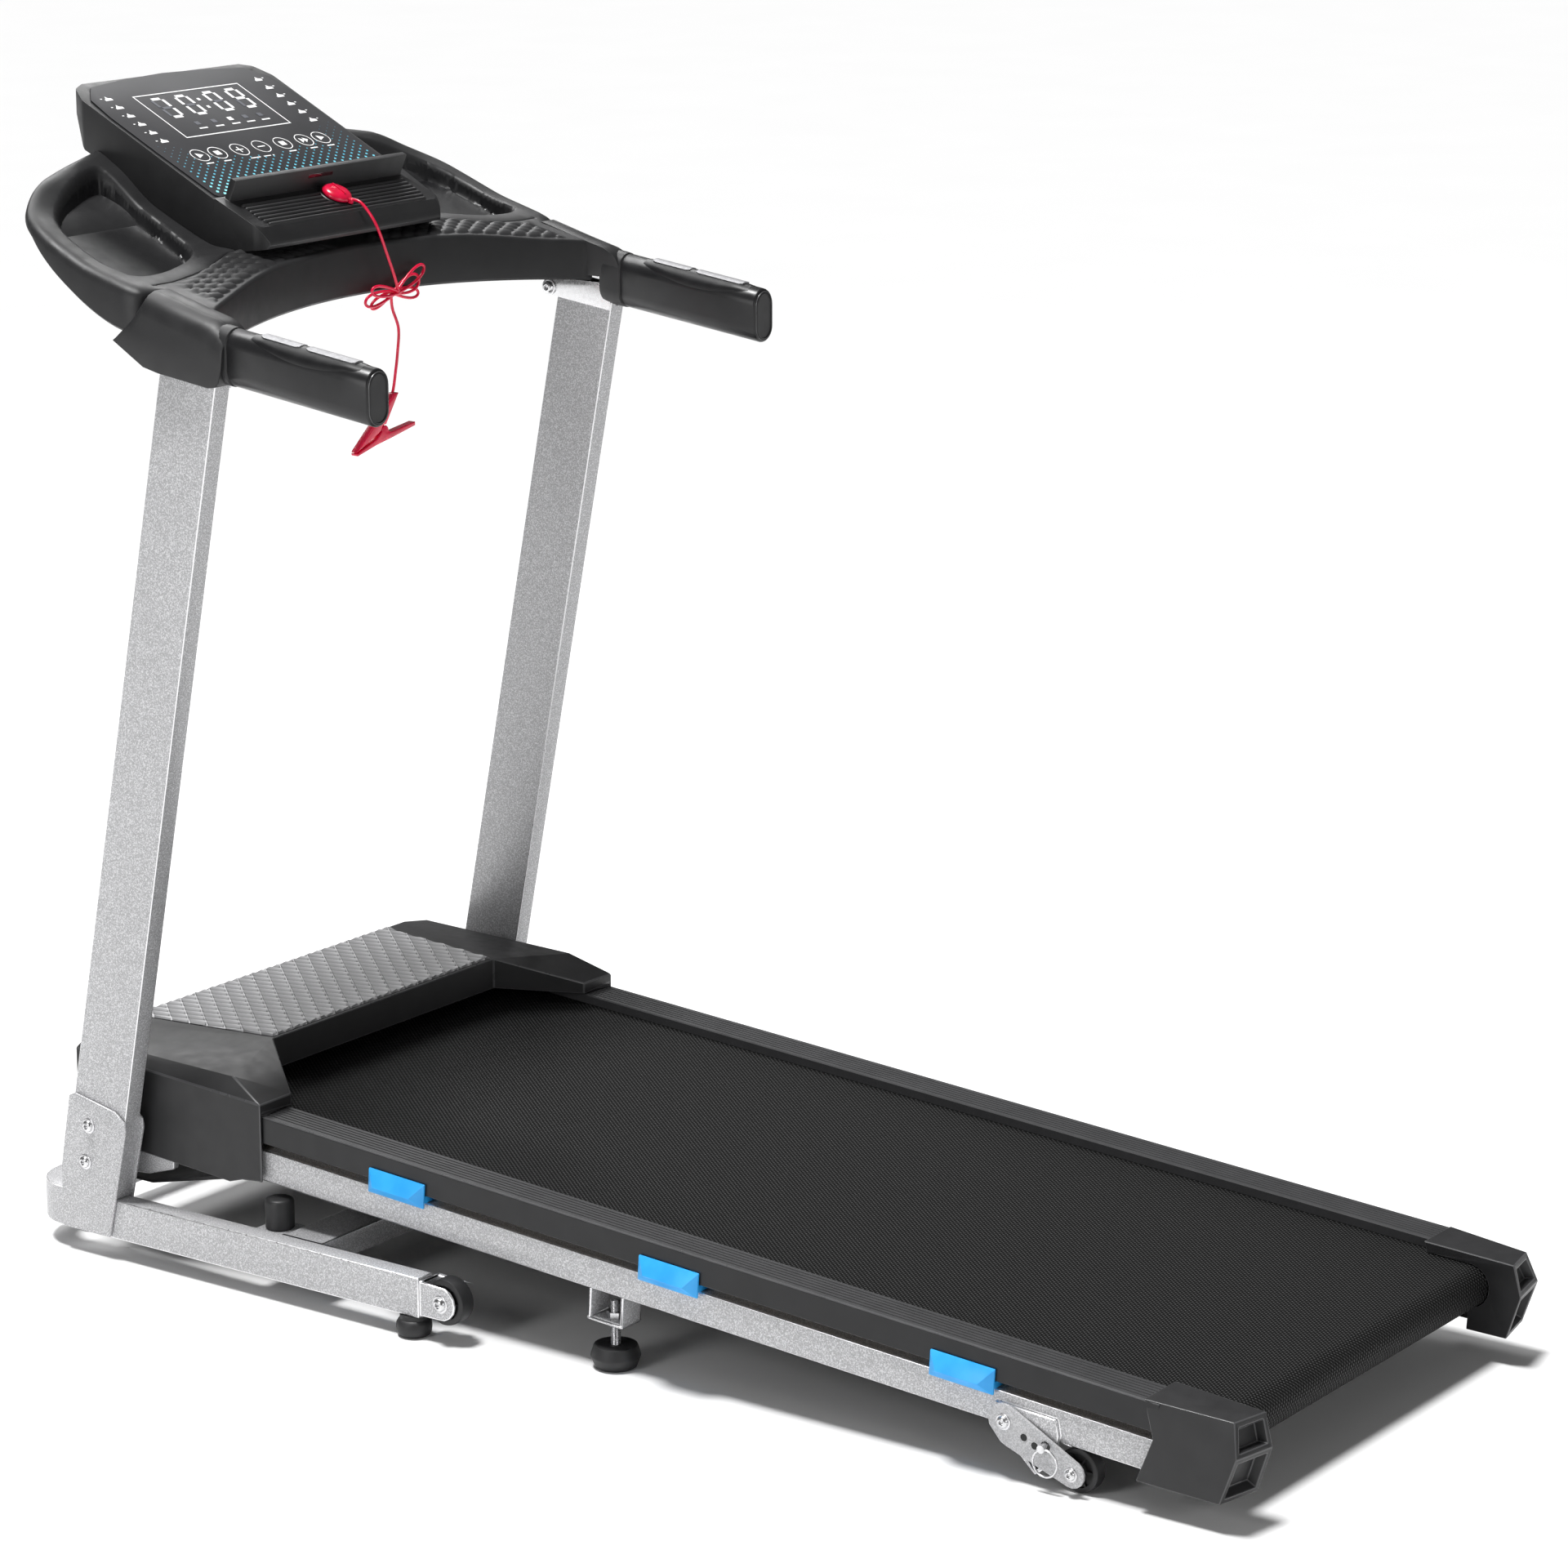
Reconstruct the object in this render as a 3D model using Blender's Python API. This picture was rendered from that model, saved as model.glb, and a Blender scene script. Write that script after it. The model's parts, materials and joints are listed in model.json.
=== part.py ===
"""Folding home treadmill with a cushioned deck, modelled in metres.

+Z is up and +Y is the way the walker faces, towards the console; +X is the walker's right.
The origin is on the floor, under the middle of the object.
"""
import math

import bmesh
import bpy
from mathutils import Vector

# ------------------------------------------------------------------ driving dimensions
GAP = 0.0003                 # clearance between pieces that touch
SIDES = (("left", -1), ("right", 1))

# Base and uprights
BASE_HALF = 0.310            # outer faces of the base rails and the uprights
TUBE = 0.021                 # tube width across the machine
RAIL_LOW, RAIL_TOP = 0.0212, 0.0610
BASE_REAR, BASE_FRONT = 0.149, 0.656
BASE_BEND = 0.050
LEAN = 0.1955                # how far an upright moves back for each metre it rises
UPRIGHT_FRONT = 0.6155       # where the front edge would meet the floor
UPRIGHT_DEPTH = 0.070
UPRIGHT_TOP = 0.898
SHEET = 0.003                # plate thickness

# Deck, in a frame that leans with it
DECK_HEIGHT = 0.1446         # foot rail top above the floor at Y = 0
DECK_SLOPE = math.radians(3.713)
HINGE = (0.0, 0.565, 0.088)  # fold axis
RAIL_IN, RAIL_OUT = 0.248, 0.270
FRAME_TOP, FRAME_LOW = -0.0354, -0.0661
BOARD_HALF, BOARD_TOP, BOARD_THICK = 0.262, -0.0125, 0.015
BOARD_REAR, BOARD_FRONT = -0.645, 0.440
BELT_HALF, BELT_THICK, BELT_GAP = 0.238, 0.002, 0.0006
ROLLER_R = 0.0181
ROLLER_REAR, ROLLER_FRONT, ROLLER_Z = -0.6745, 0.470, -0.0306
AXLE_R = 0.006
PULLEY_R, MOTOR_PULLEY_R, PULLEY_X = 0.026, 0.015, (-0.2472, -0.2393)
CUSHION_Y = (0.201, -0.121, -0.443)
CUSHION_LENGTH = 0.068
MOTOR = (0.562, 0.150)       # motor axis, Y and Z on the floor frame
STRUT_FOOT = (0.360, 0.085)
STRUT_EYE = (-0.100, 0.0640)

# Everything moves forward by this much, which puts the origin under the middle
CENTRING = 0.0033

# Console
PLANE_Y, PLANE_Z, PLANE_RISE = 0.6105, 1.0736, 0.497
HEAD_HALF = 0.140
COLLAR_IN, COLLAR_OUT = 0.2815, 0.318
GRIP_X, GRIP_REAR, GRIP_FRONT = 0.297, 0.187, 0.3725
GRIP_REAR_Z, GRIP_SLOPE = 0.8905, 0.1263
GRIP_W, GRIP_H = 0.032, 0.054
CORD_R = 0.0019
HANG_Y = 0.4500              # plane in which the key's cord hangs


# ------------------------------------------------------------------ materials
def material(name, colour, roughness, metallic=0.0):
    made = bpy.data.materials.new(name)
    made.use_nodes = True
    shader = made.node_tree.nodes["Principled BSDF"]
    shader.inputs["Base Color"].default_value = (*colour, 1.0)
    shader.inputs["Roughness"].default_value = roughness
    shader.inputs["Metallic"].default_value = metallic
    return made


def make_materials():
    return {
        "silver": material("silver_paint", (0.55, 0.55, 0.56), 0.45, 0.2),
        "black": material("black_plastic", (0.03, 0.03, 0.033), 0.5),
        "grey": material("grey_plastic", (0.16, 0.16, 0.17), 0.55),
        "rubber": material("black_rubber", (0.02, 0.02, 0.02), 0.8),
        "belt": material("belt_fabric", (0.018, 0.018, 0.019), 0.75),
        "blue": material("blue_cushion", (0.10, 0.42, 0.75), 0.5),
        "red": material("red_plastic", (0.75, 0.02, 0.10), 0.4),
        "steel": material("zinc_steel", (0.62, 0.62, 0.63), 0.3, 1.0),
        "board": material("green_board", (0.02, 0.16, 0.07), 0.5),
        "wood": material("deck_board", (0.20, 0.15, 0.10), 0.6),
    }


# ------------------------------------------------------------------ shape helpers
def arc(cx, cy, radius, start, end, steps):
    """Points on an arc from start to end, in degrees, both ends included."""
    angles = [math.radians(start + (end - start) * i / steps) for i in range(steps + 1)]
    return [(cx + radius * math.cos(a), cy + radius * math.sin(a)) for a in angles]


def rounded(points, radius, steps=3):
    """Round every corner of a closed outline."""
    result = []
    for i, corner in enumerate(points):
        here = Vector(corner)
        to_last = Vector(points[i - 1]) - here
        to_next = Vector(points[(i + 1) % len(points)]) - here
        reach = min(radius, to_last.length * 0.45, to_next.length * 0.45)
        first = here + to_last.normalized() * reach
        last = here + to_next.normalized() * reach
        for step in range(steps + 1):
            t = step / steps
            point = first * (1 - t) ** 2 + here * 2 * t * (1 - t) + last * t ** 2
            result.append((point.x, point.y))
    return result


def finish(name, points, faces, look, parent=None, at=(0, 0, 0), tilt=0.0, smooth=True):
    """Make one mesh object. at is subtracted from the points and becomes the origin."""
    mesh = bpy.data.meshes.new(name)
    origin = Vector(at)
    mesh.from_pydata([Vector(p) - origin for p in points], [], faces)
    shape = bmesh.new()
    shape.from_mesh(mesh)
    bmesh.ops.recalc_face_normals(shape, faces=shape.faces)
    shape.to_mesh(mesh)
    shape.free()
    if smooth:
        mesh.shade_smooth()
        mesh.set_sharp_from_angle(angle=math.radians(35))
    if look:
        mesh.materials.append(look)
    made = bpy.data.objects.new(name, mesh)
    bpy.context.collection.objects.link(made)
    made.parent = parent
    shift = PARENT_AT.get(parent.name, Vector()) if parent else Vector()
    made.location = origin - shift
    made.rotation_euler = (tilt, 0, 0)
    return made


PARENT_AT = {}               # where each group's own coordinates put its empty


def ring_faces(rings, per_ring, closed):
    """Quads between rings of points that lie one after another."""
    faces = []
    for r in range(rings if closed else rings - 1):
        a, b = r * per_ring, ((r + 1) % rings) * per_ring
        for i in range(per_ring):
            j = (i + 1) % per_ring
            faces.append((a + i, a + j, b + j, b + i))
    return faces


def loft(name, sections, look, **place):
    """Skin closed sections that have the same number of points, with flat ends."""
    count = len(sections[0])
    points = [p for section in sections for p in section]
    faces = ring_faces(len(sections), count, False)
    faces.append(tuple(range(count)))
    faces.append(tuple(range(len(points) - count, len(points))))
    return finish(name, points, faces, look, **place)


def prism(name, outline, axis, low, high, look, **place):
    """Extrude an outline along an axis: X takes (y, z), Y takes (x, z), Z takes (x, y)."""
    def lift(point, along):
        a, b = point
        return {"X": (along, a, b), "Y": (a, along, b), "Z": (a, b, along)}[axis]
    low, high = min(low, high), max(low, high)
    return loft(name, [[lift(p, v) for p in outline] for v in (low, high)], look, **place)


def box(name, x, y, z, look, **place):
    corners = [(y[0], z[0]), (y[1], z[0]), (y[1], z[1]), (y[0], z[1])]
    return prism(name, corners, "X", x[0], x[1], look, **place)


def turned(name, profile, axis, centre, look, closed=False, steps=20, **place):
    """Spin a profile of (radius, distance along the axis) points about an axis."""
    points, faces = [], []
    for radius, along in profile:
        for i in range(steps):
            a = 2 * math.pi * (i + 0.5) / steps
            u, v = radius * math.cos(a), radius * math.sin(a)
            offset = {"X": (along, u, v), "Y": (u, along, v), "Z": (u, v, along)}[axis]
            points.append(tuple(c + o for c, o in zip(centre, offset)))
    faces = ring_faces(len(profile), steps, closed)
    if not closed:
        faces.append(tuple(range(steps)))
        faces.append(tuple(range(len(points) - steps, len(points))))
    return finish(name, points, faces, look, **place)


def rod(name, x, centre, radius, look, steps=16, **place):
    """A round bar across the machine; centre is (y, z)."""
    ends = [(radius, x[0]), (radius, x[1])]
    return turned(name, ends, "X", (0, *centre), look, steps=steps, **place)


def tube(name, points, radius, look, parent=None):
    """A cord through points, with flat ends."""
    curve = bpy.data.curves.new(name, "CURVE")
    curve.dimensions = "3D"
    curve.bevel_depth = radius
    curve.bevel_resolution = 2
    curve.use_fill_caps = True
    spline = curve.splines.new("POLY")
    spline.points.add(len(points) - 1)
    for slot, point in zip(spline.points, points):
        slot.co = (*point, 1.0)
    curve.materials.append(look)
    made = bpy.data.objects.new(name, curve)
    bpy.context.collection.objects.link(made)
    made.parent = parent
    return made


def smooth_route(route, spacing):
    """Points read from a smooth curve through the route's own points."""
    ends = [2 * route[0] - route[1]] + route + [2 * route[-1] - route[-2]]
    fine = []
    for a, b, c, d in zip(ends, ends[1:], ends[2:], ends[3:]):
        count = max(1, round((c - b).length / spacing))
        for i in range(count):
            t = i / count
            fine.append(0.5 * (2 * b + (c - a) * t + (2 * a - 5 * b + 4 * c - d) * t ** 2
                               + (3 * b - a - 3 * c + d) * t ** 3))
    return fine + [route[-1]]


def use(target, other, operation):
    """Join, cut or intersect target with a helper, which is then hidden."""
    step = target.modifiers.new(other.name, "BOOLEAN")
    step.operation = operation
    step.solver = "EXACT"
    step.object = other
    other.hide_render = True
    other.display_type = "WIRE"
    return target


def join(target, *others):
    for other in others:
        use(target, other, "UNION")


def cut(target, *others):
    for other in others:
        use(target, other, "DIFFERENCE")


def group(name, at, tilt=0.0, parent=None, own=(0, 0, 0)):
    """An empty that carries pieces. own is the point of their coordinates that sits on it."""
    made = bpy.data.objects.new(name, None)
    bpy.context.collection.objects.link(made)
    made.parent = parent
    shift = PARENT_AT.get(parent.name, Vector()) if parent else Vector()
    made.location = Vector(at) - shift
    made.rotation_euler = (tilt, 0, 0)
    PARENT_AT[name] = Vector(own)
    return made


def span(side, a, b):
    """The same stretch of X on the left or right side."""
    return (min(side * a, side * b), max(side * a, side * b))


def band_outline(first, r1, second, r2, steps):
    """A belt's path around two round pieces."""
    a, b = Vector(first), Vector(second)
    way = math.degrees(math.atan2(b.y - a.y, b.x - a.x))
    lean = math.degrees(math.acos((r1 - r2) / (b - a).length))
    return (arc(b.x, b.y, r2, way - lean, way + lean, steps)
            + arc(a.x, a.y, r1, way + lean, way + 360 - lean, steps))


# ------------------------------------------------------------------ base and uprights
def front_edge(z):
    return UPRIGHT_FRONT - LEAN * z


def rail_outline():
    """Plan of the bent U tube, outer edge first."""
    inner = BASE_BEND - TUBE
    cx, cy = BASE_HALF - BASE_BEND, BASE_FRONT - BASE_BEND
    points = [(-BASE_HALF, BASE_REAR)] + arc(-cx, cy, BASE_BEND, 180, 90, 6)
    points += arc(cx, cy, BASE_BEND, 90, 0, 6) + [(BASE_HALF, BASE_REAR)]
    points += [(BASE_HALF - TUBE, BASE_REAR)] + arc(cx, cy, inner, 0, 90, 6)
    return points + arc(-cx, cy, inner, 90, 180, 6) + [(-BASE_HALF + TUBE, BASE_REAR)]


def make_base(looks):
    silver, rubber = looks["silver"], looks["rubber"]
    frame = prism("base_frame", rail_outline(), "Z", RAIL_LOW, RAIL_TOP, silver)
    join(frame, box("cross_tube", (-0.294, 0.294), (0.287, 0.335), (0.036, 0.0605), None))
    wheel = (0.124, 0.040)
    for side, s in SIDES:
        ear = [(0.1500, 0.0235), (0.1500, 0.0575)] + arc(*wheel, 0.0165, 80, 280, 8)
        join(frame,
             box("fork_web_" + side, span(s, 0.2805, 0.3075), (0.1465, 0.1505),
                 (0.0235, 0.0575), None),
             prism("fork_ear_in_" + side, ear, "X", *span(s, 0.2800, 0.2832), None),
             prism("fork_ear_out_" + side, ear, "X", *span(s, 0.3048, 0.3080), None),
             rod("fork_axle_" + side, span(s, 0.2790, 0.3095), wheel, 0.004, None),
             box("bumper_tab_" + side, span(s, 0.250, 0.293), (0.337, 0.374),
                 (0.0555, 0.0585), None),
             prism("strut_ear_" + side, strut_ear(), "X", *span(s, 0.0125, 0.0160), None))
        tyre = [(0.0045, 0.2852), (0.0225, 0.2852), (0.0225, 0.3028), (0.0045, 0.3028)]
        tyre = [(radius, s * along) for radius, along in tyre]
        turned("transport_wheel_" + side, tyre, "X", (0, *wheel), rubber, closed=True,
               steps=28, at=(s * 0.294, *wheel))
    join(frame, rod("strut_pin", (-0.0170, 0.0170), STRUT_FOOT, 0.004, None))
    for side, s in SIDES:
        make_upright(side, s, looks)
        for end, x, y in (("rear", 0.300, 0.163), ("front", 0.250, 0.620)):
            pad = [(0.0155, 0), (0.017, 0.003), (0.017, 0.018), (0.014, RAIL_LOW - GAP)]
            turned("base_foot_%s_%s" % (end, side), pad, "Z", (s * x, y, 0), rubber,
                   at=(s * x, y, 0))


def strut_ear():
    y, z = STRUT_FOOT
    return [(y - 0.040, 0.046), (y + 0.008, 0.046)] + arc(y, z, 0.011, -20, 150, 6)


def make_upright(side, s, looks):
    low = RAIL_TOP + GAP
    post = [(front_edge(low) - UPRIGHT_DEPTH, low), (front_edge(low), low),
            (front_edge(UPRIGHT_TOP), UPRIGHT_TOP),
            (front_edge(UPRIGHT_TOP) - UPRIGHT_DEPTH, UPRIGHT_TOP)]
    upright = prism("upright_" + side, post, "X", *span(s, BASE_HALF - TUBE, BASE_HALF),
                    looks["silver"], at=(s * (BASE_HALF - TUBE / 2), 0.568, low))
    skin = 0.0018
    bore = [(front_edge(z) - depth, z) for z, depth in
            ((0.02, UPRIGHT_DEPTH - skin), (0.02, skin), (0.95, skin),
             (0.95, UPRIGHT_DEPTH - skin))]
    cut(upright, prism("upright_bore_" + side, bore, "X",
                       *span(s, BASE_HALF - TUBE + skin, BASE_HALF - skin), None))
    plate = [(0.602, 0.0225), (0.6025, 0.083), (0.5885, 0.1605), (0.5800, 0.1640),
             (0.5290, 0.1540), (0.5150, 0.1440), (0.5140, 0.1350), (0.5400, 0.0225)]
    socket = prism("upright_socket_" + side, plate, "X",
                   *span(s, BASE_HALF - TUBE - GAP - SHEET, BASE_HALF + GAP + SHEET),
                   looks["silver"], at=(s * (BASE_HALF - TUBE / 2), 0.568, 0.0225))
    room = [(0.45, 0.0), (0.70, 0.0), (0.70, low), (front_edge(low) + GAP, low),
            (front_edge(0.25) + GAP, 0.25), (0.45, 0.25)]
    cut(socket,
        prism("socket_room_" + side, room, "X",
              *span(s, BASE_HALF - TUBE - GAP, BASE_HALF + GAP), None),
        rod("socket_bore_" + side, span(s, 0.280, 0.2950), HINGE[1:], 0.0072, None))


# ------------------------------------------------------------------ deck
def make_deck(looks):
    hinge = group("fold_axis", HINGE, own=HINGE)
    deck = group("deck_datum", (0, 0, DECK_HEIGHT), DECK_SLOPE, hinge)
    make_deck_frame(looks, deck)
    make_walking_surface(looks, deck)
    for side, s in SIDES:
        make_rear_cap(side, s, looks, deck)
        make_levelling_foot(side, s, looks, deck)
        make_incline_leg(side, s, looks, hinge)
    make_hood(looks, hinge)
    make_drive(looks, hinge, deck)
    make_strut(looks, hinge)


def to_deck(y, z):
    """A floor-frame point in the deck's own frame."""
    c, t = math.cos(DECK_SLOPE), math.sin(DECK_SLOPE)
    z -= DECK_HEIGHT
    return (y * c + z * t, z * c - y * t)


def make_deck_frame(looks, deck):
    low, top = FRAME_LOW, FRAME_TOP
    frame = box("deck_frame", span(-1, RAIL_IN, RAIL_OUT), (-0.693, 0.595), (low, top),
                looks["silver"], parent=deck)
    join(frame, box("rail_right", span(1, RAIL_IN, RAIL_OUT), (-0.693, 0.595), (low, top),
                    None, parent=deck))
    for i, y in enumerate((-0.610, -0.300, 0.020, 0.330)):
        join(frame, box("cross_member_%d" % i, (-0.253, 0.253), (y - 0.015, y + 0.015),
                        (-0.0470, -0.0362), None, parent=deck))
    hy, hz = to_deck(*HINGE[1:])
    eye = to_deck(*STRUT_EYE)
    for side, s in SIDES:
        ear = [(0.488, -0.040), (0.488, -0.0865), (0.5200, -0.0990)]
        ear += arc(hy, hz, 0.014, 230, 370, 6) + [(0.585, -0.040)]
        join(frame,
             prism("hinge_ear_" + side, ear, "X", *span(s, 0.2620, 0.2695), None, parent=deck),
             rod("hinge_pin_" + side, span(s, 0.2640, 0.2880), (hy, hz), 0.006, None,
                 parent=deck),
             box("roller_plate_rear_" + side, span(s, 0.2505, 0.2545), (-0.6925, -0.6575),
                 (-0.045, -0.0175), None, parent=deck),
             box("roller_plate_front_" + side, span(s, 0.2505, 0.2545), (0.4520, 0.4880),
                 (-0.045, -0.0175), None, parent=deck))
        cut(frame,
            rod("rear_axle_room_" + side, span(s, 0.2480, 0.2640), (ROLLER_REAR, ROLLER_Z),
                AXLE_R + 0.0008, None, parent=deck),
            rod("front_axle_room_" + side, span(s, 0.2480, 0.2640), (ROLLER_FRONT, ROLLER_Z),
                AXLE_R + 0.0008, None, parent=deck))
        join_foot_bracket(frame, side, s, deck)
        join_index_plate(frame, side, s, deck)
    join(frame, box("front_cross", (-0.2665, 0.2665), (0.492, 0.512), (-0.0850, -0.0655),
                    None, parent=deck))
    join(frame, box("strut_beam", (-0.253, 0.253), (eye[0] - 0.012, eye[0] + 0.012),
                    (-0.0650, -0.0535), None, parent=deck))
    for side, s in SIDES:
        lug = [(eye[0] - 0.011, -0.0570), (eye[0] - 0.011, eye[1])]
        lug += arc(*eye, 0.011, 180, 360, 6) + [(eye[0] + 0.011, -0.0570)]
        join(frame, prism("strut_lug_" + side, lug, "X", *span(s, 0.0095, 0.0130), None,
                          parent=deck))


def join_foot_bracket(frame, side, s, deck):
    """The U bracket under the side rail that carries the middle levelling foot."""
    join(frame,
         box("foot_front_wall_" + side, span(s, 0.2405, 0.2690), (-0.0295, -0.0265),
             (-0.0970, -0.0600), None, parent=deck),
         box("foot_rear_wall_" + side, span(s, 0.2405, 0.2690), (-0.0665, -0.0635),
             (-0.0970, -0.0600), None, parent=deck),
         box("foot_floor_" + side, span(s, 0.2400, 0.2695), (-0.0660, -0.0270),
             (-0.0975, -0.0945), None, parent=deck))
    cut(frame, turned("foot_bore_" + side, [(0.0062, -0.110), (0.0062, -0.080)], "Z",
                      (s * 0.255, -0.0483, 0), None, parent=deck))


def join_index_plate(frame, side, s, deck):
    """The plate beside the rail that the incline leg turns and locks on."""
    py, pz = to_deck(*LEG_PIVOT)
    qy, qz = to_deck(*LEG_PIN)
    reach, start = LEG_PIN_REACH, math.degrees(math.atan2(qz - pz, qy - py)) % 360
    end = start + LEG_TURN
    plate = [(py + 0.014, -0.045), (py + 0.014, pz)] + arc(py, pz, 0.014, -20, -80, 3)
    plate += arc(py, pz, reach + 0.0085, end + 9, start - 14, 6)
    plate += [(qy - 0.006, -0.045)]
    half = 0.0048
    slot = arc(py, pz, reach + half, start - 6, end + 6, 8)
    slot += arc(py, pz, reach - half, end + 6, start - 6, 8)
    join(frame, prism("index_plate_" + side, plate, "X", *span(s, 0.2680, 0.2735), None,
                      parent=deck))
    cut(frame,
        rod("leg_bore_" + side, span(s, 0.2600, 0.2800), (py, pz), 0.0062, None, parent=deck),
        prism("index_slot_" + side, slot, "X", *span(s, 0.2640, 0.2800), None, parent=deck))


def make_walking_surface(looks, deck):
    box("running_board", (-BOARD_HALF, BOARD_HALF), (BOARD_REAR, BOARD_FRONT),
        (BOARD_TOP - BOARD_THICK, BOARD_TOP), looks["wood"], parent=deck)
    ends = ((ROLLER_REAR, ROLLER_Z), (ROLLER_FRONT, ROLLER_Z))
    loops = [band_outline(ends[0], ROLLER_R + t, ends[1], ROLLER_R + t, 12)
             for t in (BELT_GAP, BELT_GAP + BELT_THICK)]
    rings = [[(x, *p) for p in loop] for x in (-BELT_HALF, BELT_HALF) for loop in loops]
    inner_low, outer_low, inner_high, outer_high = rings
    order = inner_low + outer_low + outer_high + inner_high
    finish("walking_belt", order, ring_faces(4, len(inner_low), True), looks["belt"],
           parent=deck)
    rear = [(0.006, -0.2600), (0.006, -0.2370), (ROLLER_R, -0.2370), (ROLLER_R, 0.2370),
            (0.006, 0.2370), (0.006, 0.2600)]
    turned("rear_roller", rear, "X", (0, *ends[0]), looks["steel"], parent=deck,
           at=(0, *ends[0]))
    front = [(0.006, -0.2600), (0.006, PULLEY_X[0]), (PULLEY_R, PULLEY_X[0]),
             (PULLEY_R, PULLEY_X[1]), (ROLLER_R, PULLEY_X[1]), (ROLLER_R, 0.2370),
             (0.006, 0.2370), (0.006, 0.2600)]
    turned("front_roller", front, "X", (0, *ends[1]), looks["steel"], steps=24, parent=deck,
           at=(0, *ends[1]))
    for side, s in SIDES:
        section = [(0.2340, 0.0), (0.2740, 0.0), (0.2740, -0.0270), (0.2705, -0.0270),
                   (0.2705, -0.0122), (0.2395, -0.0122), (0.2395, -0.0095),
                   (0.2340, -0.0095)]
        prism("foot_rail_" + side, [(s * x, z) for x, z in section], "Y", -0.6257, 0.4200,
              looks["grey"], parent=deck)
        for number, y in enumerate(CUSHION_Y):
            shape = [(0.2500, -0.0351), (0.2748, -0.0351), (0.2748, -0.0395),
                     (0.2800, -0.0395), (0.2800, -0.0200), (0.2775, -0.0153),
                     (0.2743, -0.0153), (0.2743, -0.0278), (0.2500, -0.0278)]
            prism("cushion_%s_%d" % (side, number + 1), [(s * x, z) for x, z in shape], "Y",
                  y - CUSHION_LENGTH / 2, y + CUSHION_LENGTH / 2, looks["blue"],
                  parent=deck)


def make_rear_cap(side, s, looks, deck):
    """The faceted end cap; a crease runs across its outer face."""
    outer = [(0.2738, -0.6265, 0.0008), (0.2651, -0.7114, 0.0008), (0.2748, -0.7214, -0.0281),
             (0.2755, -0.7091, -0.0725), (0.2755, -0.6256, -0.0754), (0.2748, -0.6388, -0.0333)]
    inner = [(0.2225, -0.6265, 0.0008), (0.2254, -0.7191, 0.0008), (0.2260, -0.7290, -0.0290),
             (0.2260, -0.7182, -0.0727), (0.2225, -0.6256, -0.0754), (0.2225, -0.6388, -0.0333)]
    points = [(s * x, y, z) for x, y, z in outer + inner]
    faces = [(0, 1, 2), (0, 2, 5), (2, 3, 5), (3, 4, 5), tuple(range(6, 12))]
    for i in range(6):
        j = (i + 1) % 6
        faces += [(i, j, 6 + j), (i, 6 + j, 6 + i)]
    cap = finish("rear_cap_" + side, points, faces, looks["black"], parent=deck, smooth=False)
    reach = 0.0010
    cut(cap,
        rod("roller_room_" + side, span(s, 0.210, 0.2395), (ROLLER_REAR, ROLLER_Z), 0.0216,
            None, steps=24, parent=deck),
        box("belt_room_" + side, span(s, 0.210, 0.2395), (ROLLER_REAR, -0.60),
            (-0.0521, -0.0095 + GAP), None, parent=deck),
        box("board_room_" + side, span(s, 0.209, 0.2702), (-0.6475, -0.598),
            (FRAME_LOW - reach, -0.0097), None, parent=deck),
        box("under_room_" + side, span(s, 0.209, 0.2485), (-0.6770, -0.598),
            (-0.0900, -0.0510), None, parent=deck),
        box("rail_room_" + side, span(s, 0.2475, 0.2704), (-0.6945, -0.597),
            (FRAME_LOW - 0.0005, -0.0118), None, parent=deck),
        rod("axle_room_" + side, span(s, 0.2360, 0.2490), (ROLLER_REAR, ROLLER_Z), 0.0068,
            None, parent=deck))


# ------------------------------------------------------------------ feet and incline legs
LEG_PIVOT = (-0.486, 0.0535)
LEG_PIN = (-0.5290, 0.0400)
LEG_WHEEL = (-0.556, 0.0205)
LEG_TURN = 30.0              # degrees the leg swings down
LEG_PIN_REACH = math.dist(LEG_PIVOT, LEG_PIN)


def make_levelling_foot(side, s, looks, deck):
    """A turned pad and stud that stand on the floor, plumb under the leaning deck."""
    y, z = -0.0420, 0.0
    foot = [(0.0195, 0.0), (0.0235, 0.0110), (0.0205, 0.0215), (0.0050, 0.0215),
            (0.0050, 0.0660)]
    turned("levelling_foot_" + side, foot, "Z", (s * 0.255, y, z), looks["rubber"],
           parent=deck.parent, at=(s * 0.255, y, z), steps=24)


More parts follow.
